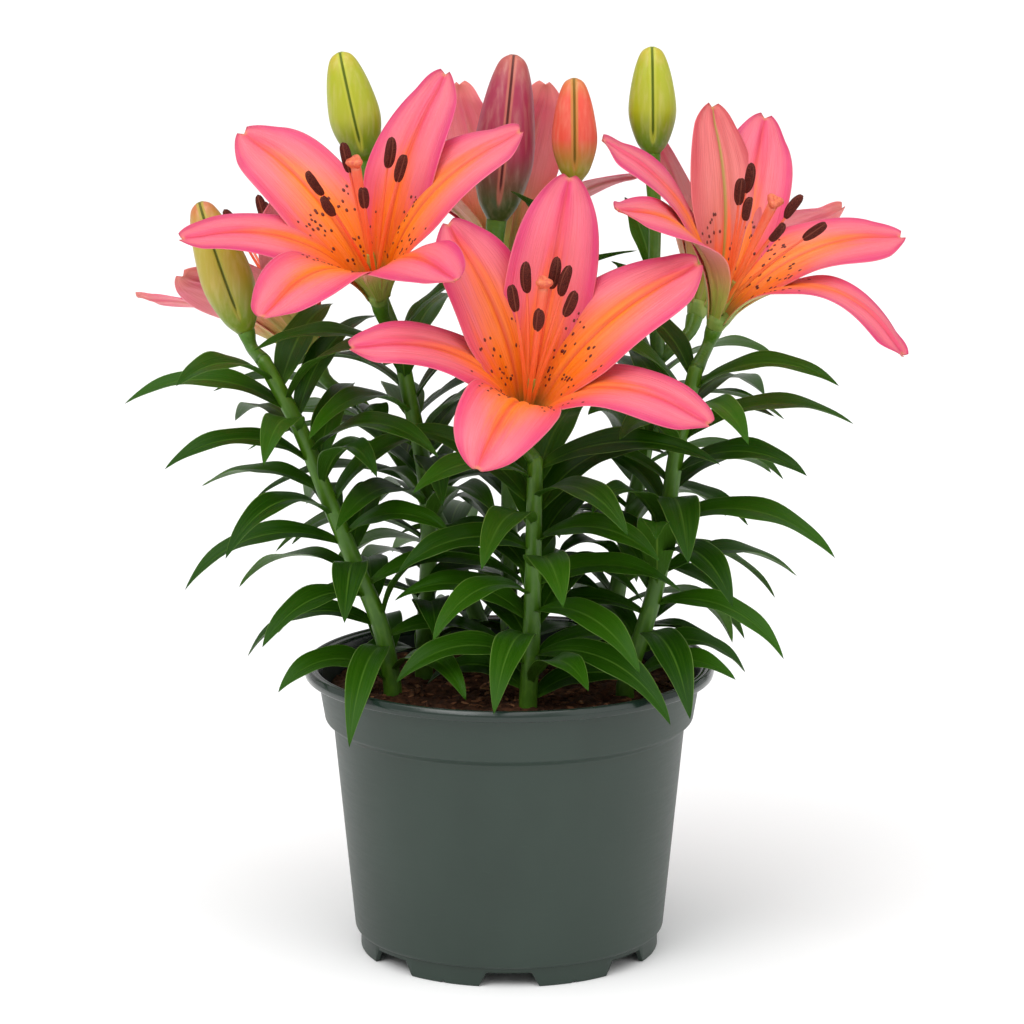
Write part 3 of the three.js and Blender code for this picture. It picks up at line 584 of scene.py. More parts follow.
def stem_paint():
    paint = Paint("stem", roughness=0.42)
    lines = streaks(paint, 7.0, 30.0)
    high = paint.mark("along")
    colour = paint.mix(high, colour_of(56, 98, 10), colour_of(78, 124, 18))
    colour = paint.tint(colour, paint.step(lines, 0.4, 0.7), 0.4, (98, 142, 34))
    return paint.finish(colour, lines, strength=0.4, distance=0.0003)


# Tones of a bud: its foot, body and tip, its grooves, and the skin beside them

BUD_TONES = {
    "green_bud": [(104, 136, 18), (164, 170, 24), (184, 166, 44), (66, 92, 8), (180, 184, 50)],
    "dusky_bud": [(66, 82, 24), (160, 44, 74), (180, 92, 80), (66, 18, 26), (196, 112, 92)],
    "coral_bud": [(160, 150, 34), (222, 78, 58), (200, 118, 56), (116, 92, 20), (190, 134, 54)],
    "tan_bud": [(120, 142, 26), (170, 152, 44), (196, 98, 70), (66, 80, 14), (164, 156, 44)],
}


def bud_paint(name, base, body, tip, seam, trim):
    """across is 1 in the grooves between the three outer tepals, and 0 on their backs."""
    paint = Paint(name, roughness=0.4, Subsurface_Weight=0.08, Subsurface_Scale=0.004)
    along, across = paint.mark("along"), paint.mark("across")
    lines = streaks(paint, 8.0, 5.0)
    skin = paint.ramp(along, [
        (0.0, base), (0.12, base), (0.42, body), (0.8, body), (1.0, tip),
    ])
    fine = paint.noise(paint.place((1, 1, 0.12)), 520.0, detail=3.0)
    skin = paint.tint(skin, paint.step(fine, 0.4, 0.75), 0.12, (244, 214, 180))
    beside = paint.times(paint.step(across, 0.06, 0.35), 0.75)
    skin = paint.mix(beside, skin, colour_of(*trim))
    groove = paint.times(paint.step(across, 0.6, 0.95), 0.85)
    colour = paint.mix(groove, skin, colour_of(*seam))
    height = paint.plus(lines, fine)
    return paint.finish(colour, height, strength=0.3, distance=0.0003)


def anther_paint():
    paint = Paint("anther", roughness=0.82, Specular_IOR_Level=0.2)
    grain = paint.noise(paint.place(), 2600.0, detail=3.0)
    colour = paint.mix(paint.step(grain, 0.35, 0.7), colour_of(58, 18, 14), colour_of(104, 44, 32))
    seam = paint.step(paint.mark("across"), 0.5, 0.95)
    colour = paint.tint(colour, seam, 0.6, (150, 84, 66))
    return paint.finish(colour, grain, strength=0.5, distance=0.0003)


def thread_paint():
    """Filaments and the style: green-gold at the foot, orange, then coral."""
    paint = Paint("thread", roughness=0.4, Subsurface_Weight=0.1, Subsurface_Scale=0.003)
    colour = paint.ramp(paint.mark("along"), [
        (0.0, (160, 150, 44)), (0.2, (236, 132, 36)), (0.5, (238, 104, 50)),
        (0.85, (234, 92, 66)), (1.0, (226, 100, 70)),
    ])
    lines = streaks(paint, 5.0, 12.0)
    colour = paint.tint(colour, lines, 0.2, (255, 200, 150))
    return paint.finish(colour, lines, strength=0.2, distance=0.0002)


def pot_paint():
    """Dark grey-green moulded plastic, satin on the wall and glossy on the lip."""
    paint = Paint("pot", roughness=0.42, Specular_IOR_Level=0.5)
    cloud = paint.noise(paint.place((1, 1, 0.6)), 26.0, detail=3.0)
    grain = paint.noise(paint.place(), 1500.0, detail=2.0)
    scuffs = paint.noise(paint.place((1, 1, 12)), 90.0, detail=4.0, roughness=0.65)
    colour = paint.mix(paint.step(cloud, 0.25, 0.75), colour_of(27, 44, 35), colour_of(34, 51, 42))
    colour = paint.tint(colour, paint.step(scuffs, 0.6, 0.8), 0.2, (58, 76, 67))
    lip = paint.mark("upper")
    colour = paint.tint(colour, lip, 0.6, (20, 33, 28))
    satin = paint.plus(0.38, paint.times(scuffs, 0.16))
    roughness = paint.math("SUBTRACT", satin, paint.times(lip, 0.26))
    return paint.finish(colour, grain, strength=0.12, distance=0.0002, roughness=roughness)


def soil_paint():
    paint = Paint("soil", roughness=0.95, Specular_IOR_Level=0.2)
    crumbs = paint.noise(paint.place(), 420.0, detail=6.0, roughness=0.65)
    tone = paint.plus(paint.times(crumbs, 0.7), paint.times(paint.mark("variety"), 0.5))
    colour = paint.ramp(tone, [
        (0.0, (26, 16, 11)), (0.4, (56, 34, 23)), (0.58, (104, 66, 44)),
        (0.78, (152, 104, 72)), (1.0, (186, 140, 102)),
    ])
    return paint.finish(colour, crumbs, strength=0.8, distance=0.001)


PAINTS = Named(
    pot=pot_paint(),
    soil=soil_paint(),
    bulb=plain_paint("bulb", (214, 196, 158), (238, 228, 204), 90.0, stretch=(1, 1, 0.3)),
    leaf=leaf_paint(),
    stem=stem_paint(),
    inner=tepal_paint("tepal_inner", 1.3),
    outer=tepal_paint("tepal_outer", 1.0),
    blushed=tepal_paint("tepal_blushed", 0.62, BLUSH),
    spot=plain_paint("spot", (78, 22, 14), (112, 36, 22), 900.0),
    receptacle=plain_paint("receptacle", (112, 148, 56), (150, 176, 80), 240.0, stretch=(1, 1, 0.3)),
    thread=thread_paint(),
    anther=anther_paint(),
    ovary=plain_paint("ovary", (150, 172, 70), (186, 196, 96), 400.0, stretch=(1, 1, 0.2)),
    stigma=plain_paint("stigma", (206, 86, 66), (228, 122, 76), 900.0),
    **{name: bud_paint(name, *tones) for name, tones in BUD_TONES.items()},
)


# Blooms

def bloom_frame(bloom):
    """Across, beside and along a bloom's axis, with azimuth 0 on its uppermost side."""
    along = unit(bloom.axis)
    across = square_to(UP, along)
    base = np.array(bloom.base, float)
    return Named(along=along, across=across, beside=np.cross(along, across), base=base)


def tepals_of(bloom):
    """Each tepal with the layer that it belongs to."""
    return [(layer, tepal) for layer in ("inner", "outer") for tepal in getattr(bloom, layer)]


def tepal_half_width(width, share):
    """A narrow claw, a broad blade and a blunt tip."""
    claw = 0.22 + 0.78 * np.sin(np.pi / 2 * np.minimum(share / TEPAL.widest, 1)) ** 1.35
    past = np.clip((share - TEPAL.widest) / (1 - TEPAL.widest), 0, 1)
    return width / 2 * np.where(share < TEPAL.widest, claw, (1 - past ** 2.6) ** 0.62)


def tepal_midline(tepal, layer, steps):
    """How far out and up a tepal's middle line is, and its angle from the bloom's axis."""
    _, length, _, tip = tepal

    def angle_at(share):
        return np.radians(TEPAL.start_angle * (1 - share) ** 2
                          + 2 * (0.45 * tip + 8) * share * (1 - share) + tip * share ** 2)

    middles = angle_at((np.arange(steps) + 0.5) / steps)
    out = TEPAL.start_radius[layer] + running_sum(np.sin(middles)) * length / steps
    up = running_sum(np.cos(middles)) * length / steps
    return out, up, angle_at(np.arange(steps + 1) / steps)


def tepal_points(frame_of, tepal, layer, share, side, lift=0.0, steps=40):
    """Points of a tepal: share runs along it, side from -1 to 1 across it, and lift off its face."""
    share, side, lift = np.broadcast_arrays(share, side, lift)
    azimuth = math.radians(tepal[0])
    outward = frame_of.across * math.cos(azimuth) + frame_of.beside * math.sin(azimuth)
    sideways = frame_of.beside * math.cos(azimuth) - frame_of.across * math.sin(azimuth)
    shares = np.arange(steps + 1) / steps
    out, up, angle = (np.interp(share, shares, line) for line in tepal_midline(tepal, layer, steps))
    half = tepal_half_width(tepal[2], share)
    lifted = TEPAL.cup[layer] * (1 - 1.2 * share) * half * side ** 2 + lift
    return (frame_of.base
            + outward * (out - lifted * np.cos(angle))[..., None]
            + frame_of.along * (up + lifted * np.sin(angle))[..., None]
            + sideways * (half * side)[..., None])


# How many sides the round parts have

SIDES = Named(receptacle=36, ovary=24, style=14, filament=10, stalk=18, drain=32)

# The materials of a bloom's tepals, in the order of their slots

TEPAL_SLOTS = ["inner", "outer", "spot", "receptacle", "blushed"]

# The fine form of a tepal: how many steps and faces it has, its relief and its notched tip

FINE_STEPS = 160
TEPAL_ROWS = 60
TEPAL_COLUMNS = 33
TEPAL_EDGE = Named(thickness=0.13, inset=0.975)
RIB = Named(depth=0.6, width=0.8, ridge=0.34, ridge_out=2.0, ridge_width=1.0)
VEINS = Named(depth=0.2, width=0.8, out=(4.6, 8.2))
RUFFLE = Named(height=1.3, waves=1.5)
TIP = Named(last=0.992, notch=0.011, curl=1.7, hook=1.2)


def tepal_relief(tepal, share, side, phase):
    """The groove over the midrib between two ridges, fainter veins beside it, waves along the margins
    and a tip that hooks inward between rolled margins."""
    half = tepal_half_width(tepal[2], share)
    reach = np.abs(half * side)
    fade = smooth(share, 0.02, 0.2) * (1 - smooth(share, 0.9, 1.0))
    relief = -RIB.depth * np.exp(-(reach / RIB.width) ** 2)
    relief = relief + RIB.ridge * np.exp(-((reach - RIB.ridge_out) / RIB.ridge_width) ** 2)
    for out in VEINS.out:
        inside = 1 - smooth(reach, 0.75 * half, 0.95 * half)
        relief = relief - VEINS.depth * np.exp(-((reach - out) / VEINS.width) ** 2) * inside
    wave = np.sin(2 * np.pi * (RUFFLE.waves * share + phase) + np.where(side > 0, 1.7, 0.0))
    waved = smooth(share, 0.25, 0.5) * (1 - smooth(share, 0.86, 1.0))
    ruffle = RUFFLE.height * np.abs(side) ** 2.5 * wave * waved
    tip = smooth(share, 0.88, 1.0) * (TIP.curl * side ** 2 + TIP.hook * share)
    return relief * fade + ruffle + tip


def notched(share, side):
    """The share at which a point lies once the middle of the tip has fallen behind its two corners."""
    return share - TIP.notch * smooth(share, 0.9, 1.0) * (1 - np.abs(side)) ** 2.4


def tepal_skin(skin, frame_of, tepal, layer, phase, slot):
    even = np.linspace(0, 1, TEPAL_ROWS)
    shares = TIP.last * (1 - (1 - even) ** 1.25)
    sides = np.linspace(1, -1, TEPAL_COLUMNS)
    sides = np.sign(sides) * np.abs(sides) ** 1.35
    sides = np.concatenate([[1, TEPAL_EDGE.inset], sides[1:-1], [-TEPAL_EDGE.inset, -1]])
    around = there_and_back(sides)
    face = np.concatenate([np.ones(len(sides)), -np.ones(len(sides) - 2)])
    face[[0, len(sides) - 1]] = 0
    share, side = shares[:, None], around[None]
    thick = TEPAL_EDGE.thickness + (TEPAL.thickness / 2 - TEPAL_EDGE.thickness) * (1 - side ** 2) ** 0.6
    thick = thick * (1 - 0.5 * smooth(share, 0.9, 1.0))
    lift = tepal_relief(tepal, share, side, phase) + face * thick
    rings = tepal_points(frame_of, tepal, layer, notched(share, side), side, lift, steps=FINE_STEPS)
    end = float(notched(TIP.last, 0.0)) + 0.002
    lift = tepal_relief(tepal, TIP.last, 0.0, phase)
    tip = tepal_points(frame_of, tepal, layer, end, 0.0, lift, steps=FINE_STEPS)
    skin.loft(rings, marks_for(share, side, (face + 1) / 2, phase), slot, tip=tip)


SPOTS = Named(
    inner=44, outer=10, low=0.16, high=0.47, inner_side=0.16, outer_side=0.4, last_side=0.84,
    small=0.34, large=0.58, height=0.26, sides=8, stretch=1.45, probe=0.004,
)


def tepal_spots(skin, frame_of, tepal, layer, phase, draws):
    """Raised maroon dots over the lower half of a tepal, fewer and further out on the outer ones."""
    count = SPOTS.inner if layer == "inner" else SPOTS.outer
    inmost = SPOTS.inner_side if layer == "inner" else SPOTS.outer_side

    def on_face(share, side):
        lift = tepal_relief(tepal, share, side, phase) + TEPAL.thickness / 2 * (1 - side ** 2) ** 0.6
        return tepal_points(frame_of, tepal, layer, share, side, lift, steps=FINE_STEPS)

    angles = even_turns(SPOTS.sides)
    for _ in range(count):
        share = mix(SPOTS.low, SPOTS.high, next(draws) ** 0.9)
        side = mix(inmost, SPOTS.last_side, next(draws)) * (-1 if next(draws) < 0.5 else 1)
        shares = np.array([share, share + SPOTS.probe, share])
        sides = np.array([side, side, side + SPOTS.probe])
        middle, ahead, beside = on_face(shares, sides)
        along = unit(ahead - middle)
        beside = beside - middle
        beside = square_to(beside, along)
        normal = np.cross(along, beside)
        radius = mix(SPOTS.small, SPOTS.large, next(draws) ** 1.5)
        wheel = wheel_of(angles, SPOTS.stretch * along, beside)
        heights = [(-0.25, 1.0), (0.04, 1.0), (0.75 * SPOTS.height, 0.68)]
        rings = np.array([middle + normal * height + radius * part * wheel for height, part in heights])
        top = middle + normal * SPOTS.height
        skin.loft(rings, marks_for(share, side), TEPAL_SLOTS.index("spot"), tip=top)


def receptacle_skin(skin, frame_of):
    """The swollen end of the pedicel, with a low lobe under each tepal."""
    profile = [(0.6, 0), (0.92, 0.06), (1, 0.16), (1.02, 0.4), (1.1, 0.62), (1.0, 0.86), (0.7, 1)]
    span = RECEPTACLE.top - RECEPTACLE.bottom
    angles = even_turns(SIDES.receptacle)
    centres = []
    radii = []
    for wide, share in profile:
        centres.append(frame_of.base + frame_of.along * (RECEPTACLE.bottom + span * share))
        lobes = 1 + 0.05 * share * np.cos(6 * angles)
        radii.append(wide * mix(RECEPTACLE.low_radius, RECEPTACLE.high_radius, share) * lobes)
    rings = turned_rings(centres, radii, SIDES.receptacle, frame_of.across)
    skin.loft(rings, marks_for(0.0), TEPAL_SLOTS.index("receptacle"))


BLUSHED = ("bloom_right", -20)


def bloom_tepals(name, bloom, draws):
    skin = Skin()
    frame_of = bloom_frame(bloom)
    receptacle_skin(skin, frame_of)
    for layer, tepal in tepals_of(bloom):
        phase = next(draws)
        slot = TEPAL_SLOTS.index("blushed" if (name, tepal[0]) == BLUSHED else layer)
        tepal_skin(skin, frame_of, tepal, layer, phase, slot)
        tepal_spots(skin, frame_of, tepal, layer, phase, draws)
    paints = [getattr(PAINTS, slot) for slot in TEPAL_SLOTS]
    dress(skin, f"{name}_tepals", paints)


def thread_points(frame_of, lean, length, share):
    """The line of a stamen or a style, leaning further out towards its end."""
    turn, spread = np.radians(lean)
    share = np.asarray(share, float)
    out = 0.5 + length * math.sin(spread) * np.maximum(0, share) ** 1.25
    side = frame_of.across * math.cos(turn) + frame_of.beside * math.sin(turn)
    return (frame_of.base + frame_of.along * (4 + length * math.cos(spread) * share)[..., None]
            + side * out[..., None])


ANTHER = Named(sides=20, rows=18, width=2.05, flat=0.72, furrow=0.34, furrow_depth=0.26, bow=0.5)


def stamen_skin(skin, frame_of, lean, twist):
    """A tapered filament that holds a two-lobed anther by its middle."""
    shares = np.linspace(0.02, 1, 22)
    centres = thread_points(frame_of, lean, STAMEN.length, shares)
    radii = STAMEN.filament * (1.28 - 0.8 * shares)
    rings = turned_rings(centres, radii[:, None], SIDES.filament, frame_of.across)
    skin.loft(rings, marks_for(shares[:, None], np.linspace(-1, 1, SIDES.filament), 1.0, twist))

    along = unit(centres[-1] - centres[-3])
    across = square_to(frame_of.across, along)
    beside = np.cross(along, across)
    angles = even_turns(ANTHER.sides)
    furrow = np.exp(-(np.sin(angles) / ANTHER.furrow) ** 2)
    wheel = wheel_of(angles + twist, across, beside)
    oval = np.abs(np.sin(angles)) + ANTHER.flat * np.abs(np.cos(angles))
    oval = oval / oval.max() * (1 - ANTHER.furrow_depth * furrow)
    places = np.linspace(-1, 1, ANTHER.rows + 2)[1:-1, None]
    middles = centres[-1] + along * (places * STAMEN.anther_length / 2)
    middles = middles + wheel[0] * ANTHER.bow * (1 - places ** 2)
    sizes = ANTHER.width * (1 - np.abs(places) ** 2.8) ** 0.5 * oval
    rings = middles[:, None] + sizes[..., None] * wheel
    ends = [centres[-1] + along * (end * STAMEN.anther_length / 2) for end in (-1, 1)]
    skin.loft(rings, marks_for(0.5, furrow[None], 1.0, twist), 1, start=ends[0], tip=ends[1])


# Rows of the stigma: a share of the pistil's length, the radius there, and how far the lobes stand out
STIGMA = [
    (0.945, 1.5, 0.03), (0.965, 1.9, 0.08), (0.985, 2.6, 0.16), (1.004, 2.95, 0.2), (1.02, 2.5, 0.24),
    (1.026, 1.5, 0.34), (1.01, 0.5, 0.2),
]


def pistil_skin(skin, frame_of, lean):
    """The ribbed ovary, the style that widens upward, and the three-lobed stigma."""
    neck = PISTIL.ovary_length / PISTIL.length
    angles = even_turns(SIDES.ovary)
    ribs = 1 + 0.08 * np.cos(6 * angles)
    shares = np.linspace(-0.02, 1.12 * neck, 16)
    narrowing = 1 - 0.28 * smooth(shares / neck, 0.75, 1.12)
    swell = PISTIL.ovary * narrowing * (0.72 + 0.28 * smooth(shares / neck, -0.1, 0.3))
    centres = thread_points(frame_of, lean, PISTIL.length, shares)
    rings = turned_rings(centres, swell[:, None] * ribs, SIDES.ovary, frame_of.across)
    skin.loft(rings, marks_for(0.1), 2)
    shares = np.linspace(neck, 0.965, 26)
    radii = PISTIL.radius * (1.1 + 0.6 * smooth(shares, 0.45, 0.97))
    centres = thread_points(frame_of, lean, PISTIL.length, shares)
    rings = turned_rings(centres, radii[:, None], SIDES.style, frame_of.across)
    skin.loft(rings, marks_for(shares[:, None], np.linspace(-1, 1, SIDES.style)))
    centres = thread_points(frame_of, lean, PISTIL.length, [share for share, _, _ in STIGMA])
    axis = unit(centres[3] - centres[0])
    across = square_to(frame_of.across, axis)
    wheel = wheel_of(angles, across, np.cross(axis, across))
    rings = [centre + (radius * (1 + depth * np.cos(3 * angles)))[:, None] * wheel
             for centre, (_, radius, depth) in zip(centres, STIGMA)]
    skin.loft(np.array(rings), marks_for(1.0), 3)


def bloom_stamens(name, bloom, draws):
    skin = Skin()
    frame_of = bloom_frame(bloom)
    pistil_skin(skin, frame_of, bloom.pistil)
    for lean in bloom.stamens:
        stamen_skin(skin, frame_of, lean, 2 * math.pi * next(draws))
    paints = [PAINTS.thread, PAINTS.anther, PAINTS.ovary, PAINTS.stigma]
    dress(skin, f"{name}_stamens", paints)


# Buds

BUD_FORM = Named(
    rows=44, tip_rows=12, columns=32, lobes=0.035, valley=0.06, valley_width=0.26, groove=0.55,
    groove_width=0.34, mark_width=1.1, tip_notch=0.34, shoulder=0.86, tip_start=0.88, end=0.985, apex=0.975,
)


def bud_profile(shares):
    """The radius of a bud at shares of its length, eased between the rows of BUD_SHAPE."""
    curve = Curve([(share, wide, 0) for wide, share in BUD_SHAPE])
    track = curve.at(np.linspace(0, 1, 400))
    return np.interp(shares, track[:, 0], track[:, 1])


def bud_piece(name, bud):
    """Three outer tepals, one of them in front, that meet in fine grooves with a soft valley along each."""
    base = np.array(bud.base, float)
    axis = np.array(bud.tip, float) - base
    length = np.linalg.norm(axis)
    along = axis / length
    across = square_to(NORTH, along)
    third = np.linspace(-1, 1, BUD_FORM.columns + 1)[:-1]
    off_groove = np.tile(np.pi / 3 * np.sign(third) * np.abs(third) ** 1.7, 3)
    angles = off_groove + np.repeat(np.pi / 3 * np.array([1, 3, 5]), BUD_FORM.columns)
    wheel = wheel_of(angles, across, np.cross(along, across))
    shares = np.concatenate([
        np.linspace(0, BUD_FORM.shoulder, BUD_FORM.rows),
        np.linspace(BUD_FORM.tip_start, BUD_FORM.end, BUD_FORM.tip_rows),
    ])[:, None]
    radius = bud_profile(shares) * bud.radius
    reach = np.abs(off_groove) * radius
    open_share = smooth(shares, 0.04, 0.25)
    tip_share = smooth(shares, BUD_FORM.shoulder, 1.0)
    lobes = 1 + BUD_FORM.lobes * np.cos(3 * angles)
    valley = np.exp(-(off_groove / BUD_FORM.valley_width) ** 2)
    valley = valley * mix(BUD_FORM.valley, BUD_FORM.tip_notch, tip_share)
    groove = BUD_FORM.groove * np.exp(-(reach / BUD_FORM.groove_width) ** 2) * (1 - tip_share)
    reaches = radius * (lobes - valley * open_share) - groove * open_share
    rings = base + along * (shares * length)[..., None] + reaches[..., None] * wheel
    seam = np.exp(-(reach / BUD_FORM.mark_width) ** 2) * open_share
    skin = Skin()
    skin.loft(rings, marks_for(shares, seam, 1.0, 0.5), tip=base + along * (BUD_FORM.apex * length))
    dress(skin, name, [getattr(PAINTS, bud.slot)])


# Leafy stems, with leaves that grow by the same rule as the solids' leaves

def stem_points(stem):
    """A stem stands upright in its hole and leans only above the soil."""
    (x, y), *above = stem.path
    return [(x, y, z) for z in (STEM.foot_z, SOIL.surface_z - 4, SOIL.surface_z + 4)] + above


def stem_radius(share):
    return mix(STEM.radius, STEM.tip_radius, share)


def pedicel_end(name):
    """Where a pedicel ends, the way it points there, and its radius."""
    if name in BLOOMS:
        at = bloom_frame(BLOOMS[name])
        return at.base + at.along * (RECEPTACLE.bottom - FIT), at.along, RECEPTACLE.low_radius
    bud = BUDS[name]
    along = unit(np.array(bud.tip, float) - bud.base)
    return np.array(bud.base) - along * FIT, along, BUD_NECK * bud.radius


def pedicel_points(stem, name):
    end, along, _ = pedicel_end(name)
    return [stem.path[-1], *stem.pedicels[name], end - 6 * along, end]


def leaf_half_width(leaf, share):
    """Lance-shaped, widest below its middle."""
    share = np.asarray(share, float)
    return leaf.width / 2 * (0.17 * (1 - share) + 0.97 * np.abs(np.sin(np.pi * share ** 0.85)) ** 0.9)


def leaf_points(leaf, share, side, lift=0.0, steps=12):
    """Points of a leaf that leaves its stem rising, arches over and points down at its tip."""
    share, side, lift = np.broadcast_arrays(share, side, lift)
    middles = mix(leaf.rise, leaf.fall, (np.arange(steps) + 0.5) / steps)
    stride = leaf.length / steps
    out = running_sum(np.cos(middles)) * stride
    up = running_sum(np.sin(middles)) * stride
    shares = np.arange(steps + 1) / steps
    out, up = np.interp(share, shares, out), np.interp(share, shares, up)
    slope = mix(leaf.rise, leaf.fall, share)
    cos, sin = math.cos(leaf.azimuth), math.sin(leaf.azimuth)
    outward, beside = np.array([cos, sin, 0.0]), np.array([-sin, cos, 0.0])
    half = leaf_half_width(leaf, share)
    over = half * side * math.sin(leaf.bank) + lift * math.cos(leaf.bank)
    return (leaf.root
            + outward * (out - over * np.sin(slope))[..., None]
            + UP * (up + over * np.cos(slope))[..., None]
            + beside * (half * side * math.cos(leaf.bank) - lift * math.sin(leaf.bank))[..., None])


def leaf_probes(leaf):
    shares = np.arange(2, 13) / 12
    return leaf_points(leaf, shares[:, None], np.array([-0.9, 0, 0.9])[None]).reshape(-1, 3)


class Crowd:
    """Round obstacles, each with the number of what it belongs to."""

    def __init__(self):
        self.points = np.empty((0, 3))
        self.radii = np.empty(0)
        self.owners = np.empty(0, int)

    def add(self, points, radii, owner):
        self.points = np.concatenate([self.points, points])
        self.radii = np.concatenate([self.radii, np.broadcast_to(radii, len(points))])
        self.owners = np.concatenate([self.owners, np.full(len(points), owner)])

    def is_clear(self, points, radius, owner):
        reach = radius + self.radii[:, None]
        near = (self.points > points.min(0) - reach).all(1) & (self.points < points.max(0) + reach).all(1)
        near &= self.owners != owner
        gaps = np.linalg.norm(points[:, None] - self.points[near][None], axis=2)
        return not (gaps < radius + self.radii[near]).any()


def clear_of_pot(points):
    """Leaves stay over the soil, above the rim, or outside the pot."""
    reach = np.hypot(points[:, 0], points[:, 1])
    height = points[:, 2]
    above = height > POT.height + ROOM.over
    inside = reach < POT.collar_top - ROOM.inside
    over_soil = inside & (height > SOIL.surface_z + ROOM.over)
    outside = ~inside & (reach > POT.rim_radius + ROOM.outside) & (height > ROOM.lowest)
    return (above | over_soil | outside).all()


def crowd_of_flowers(owners):
    crowd = Crowd()
    for name, bloom in BLOOMS.items():
        frame_of = bloom_frame(bloom)
        for layer, tepal in tepals_of(bloom):
            crowd.add(crowd_tepal_points(frame_of, tepal, layer), ROOM.tepal, owners[name])
    for name, bud in BUDS.items():
        steps = np.arange(9)
        points = mix(np.array(bud.base, float), np.array(bud.tip, float), steps[:, None] / 8)
        swell = bud.radius * np.sin(np.pi * (0.15 + 0.1 * steps))
        crowd.add(points, swell + ROOM.bud, owners[name])
    for name, stem in STEMS.items():
        rows = [stem_points(stem)] + [pedicel_points(stem, flower) for flower in stem.pedicels]
        for row in rows:
            crowd.add(Curve(row).at(np.arange(41) / 40), STEM.radius + ROOM.stem, owners[name])
    return crowd


def crowd_tepal_points(frame_of, tepal, layer):
    """The solids take a tepal's width at each share, and its line at the nearest of forty steps."""
    shares = np.arange(17) / 16
    sides = np.array([-1, -0.5, 0, 0.5, 1])
    nearest = np.floor(np.arange(17) * 2.5 + 0.5) / 40
    across = tepal_points(frame_of, tepal, layer, shares[:, None], sides[None])
    middle = tepal_points(frame_of, tepal, layer, shares, 0.0)
    line = tepal_points(frame_of, tepal, layer, nearest, 0.0)
    return (across - middle[:, None] + line[:, None]).reshape(-1, 3)


def leaf_at(stem, curve, share, index, draws):
    _, turn, top = stem.leaves
    centre = curve.at(share)
    low = 1 - (centre[2] - SOIL.surface_z) / (top - SOIL.surface_z)
    azimuth = math.radians(turn + index * GOLDEN_ANGLE + LEAF.turn_scatter * (next(draws) - 0.5))
    size = LEAF.least_size + LEAF.size_scatter * next(draws)
    size *= LEAF.foot_size if low > LEAF.foot else 1
    inward = math.cos(azimuth) * centre[0] + math.sin(azimuth) * centre[1] < 0
    width = LEAF.width * (LEAF.least_width + LEAF.width_scatter * next(draws))
    rise = mix(LEAF.rise_top, LEAF.rise_low, low) + LEAF.rise_inward * inward
    rise += LEAF.rise_scatter * (next(draws) - 0.5)
    fall = mix(LEAF.fall_top, LEAF.fall_low, low) + LEAF.fall_inward * inward
    fall += LEAF.fall_scatter * (next(draws) - 0.5)
    return Named(
        centre=centre, azimuth=azimuth, stem_radius=stem_radius(share), inward=inward,
        length=LEAF.length * size, width=width, rise=math.radians(rise), fall=math.radians(fall),
    )


def bract_at(stem, flower, share, azimuth):
    return Named(
        centre=Curve(pedicel_points(stem, flower)).at(share), azimuth=math.radians(azimuth), inward=False,
        stem_radius=PEDICEL.radius, length=BRACT.length, width=BRACT.width,
        rise=math.radians(BRACT.rise), fall=math.radians(BRACT.fall),
    )


def fitted(leaf, shrink, raised, turn):
    """The leaf as it would grow turned aside, raised, or shorter."""
    azimuth = leaf.azimuth + math.radians(turn)
    root = leaf.centre + (leaf.stem_radius - LEAF.sunk) * np.array([math.cos(azimuth), math.sin(azimuth), 0])
    middle_y = root[1] + 0.5 * leaf.length * math.sin(azimuth)
    outside = math.tanh((middle_y - LEAF.bank_from) / LEAF.bank_over)
    return Named(
        azimuth=azimuth, root=root, length=leaf.length * shrink, width=leaf.width,
        bank=math.asin(-LEAF.bank * outside * math.cos(azimuth)),
        rise=leaf.rise + math.radians(raised), fall=leaf.fall + math.radians(raised),
    )


TRIES = [(shrink, raised, turn) for shrink in (1, 0.84, 0.68) for raised in (0, 14, -12, 26)
         for turn in (0, 13, -13, 27, -27)]


def grown_leaves():
    """The leaves on the outside of the plant grow first, and the inner ones fill what room is left."""
    owners = {name: number for number, name in enumerate([*BLOOMS, *BUDS, *STEMS])}
    crowd = crowd_of_flowers(owners)
    draws = seeded_random(LEAF.seed)
    wanted = []
    for name, stem in STEMS.items():
        count, _, top = stem.leaves
        curve = Curve(stem_points(stem))
        span = curve.at(1.0)[2] - STEM.foot_z
        first = (SOIL.surface_z + LEAF.first_height - STEM.foot_z) / span
        last = min(LEAF.last_share, (top - STEM.foot_z) / span)
        for index in range(count):
            share = mix(first, last, index / (count - 1))
            wanted.append((name, leaf_at(stem, curve, share, index, draws)))
        wanted += [(name, bract_at(stem, *bract)) for bract in stem.bracts]
    wanted.sort(key=lambda row: row[1].inward)
    grown = {name: [] for name in STEMS}
    for name, leaf in wanted:
        for attempt in TRIES:
            candidate = fitted(leaf, *attempt)
            probes = leaf_probes(candidate)
            if clear_of_pot(probes) and crowd.is_clear(probes, ROOM.leaf, owners[name]):
                grown[name].append(candidate)
                crowd.add(probes, ROOM.leaf, owners[name])
                break
    return grown


LEAF_ROWS = 26
LEAF_COLUMNS = 11
LEAF_FORM = Named(edge=0.16, channel=0.4, fold=1.1, wave=0.55, waves=2.4)


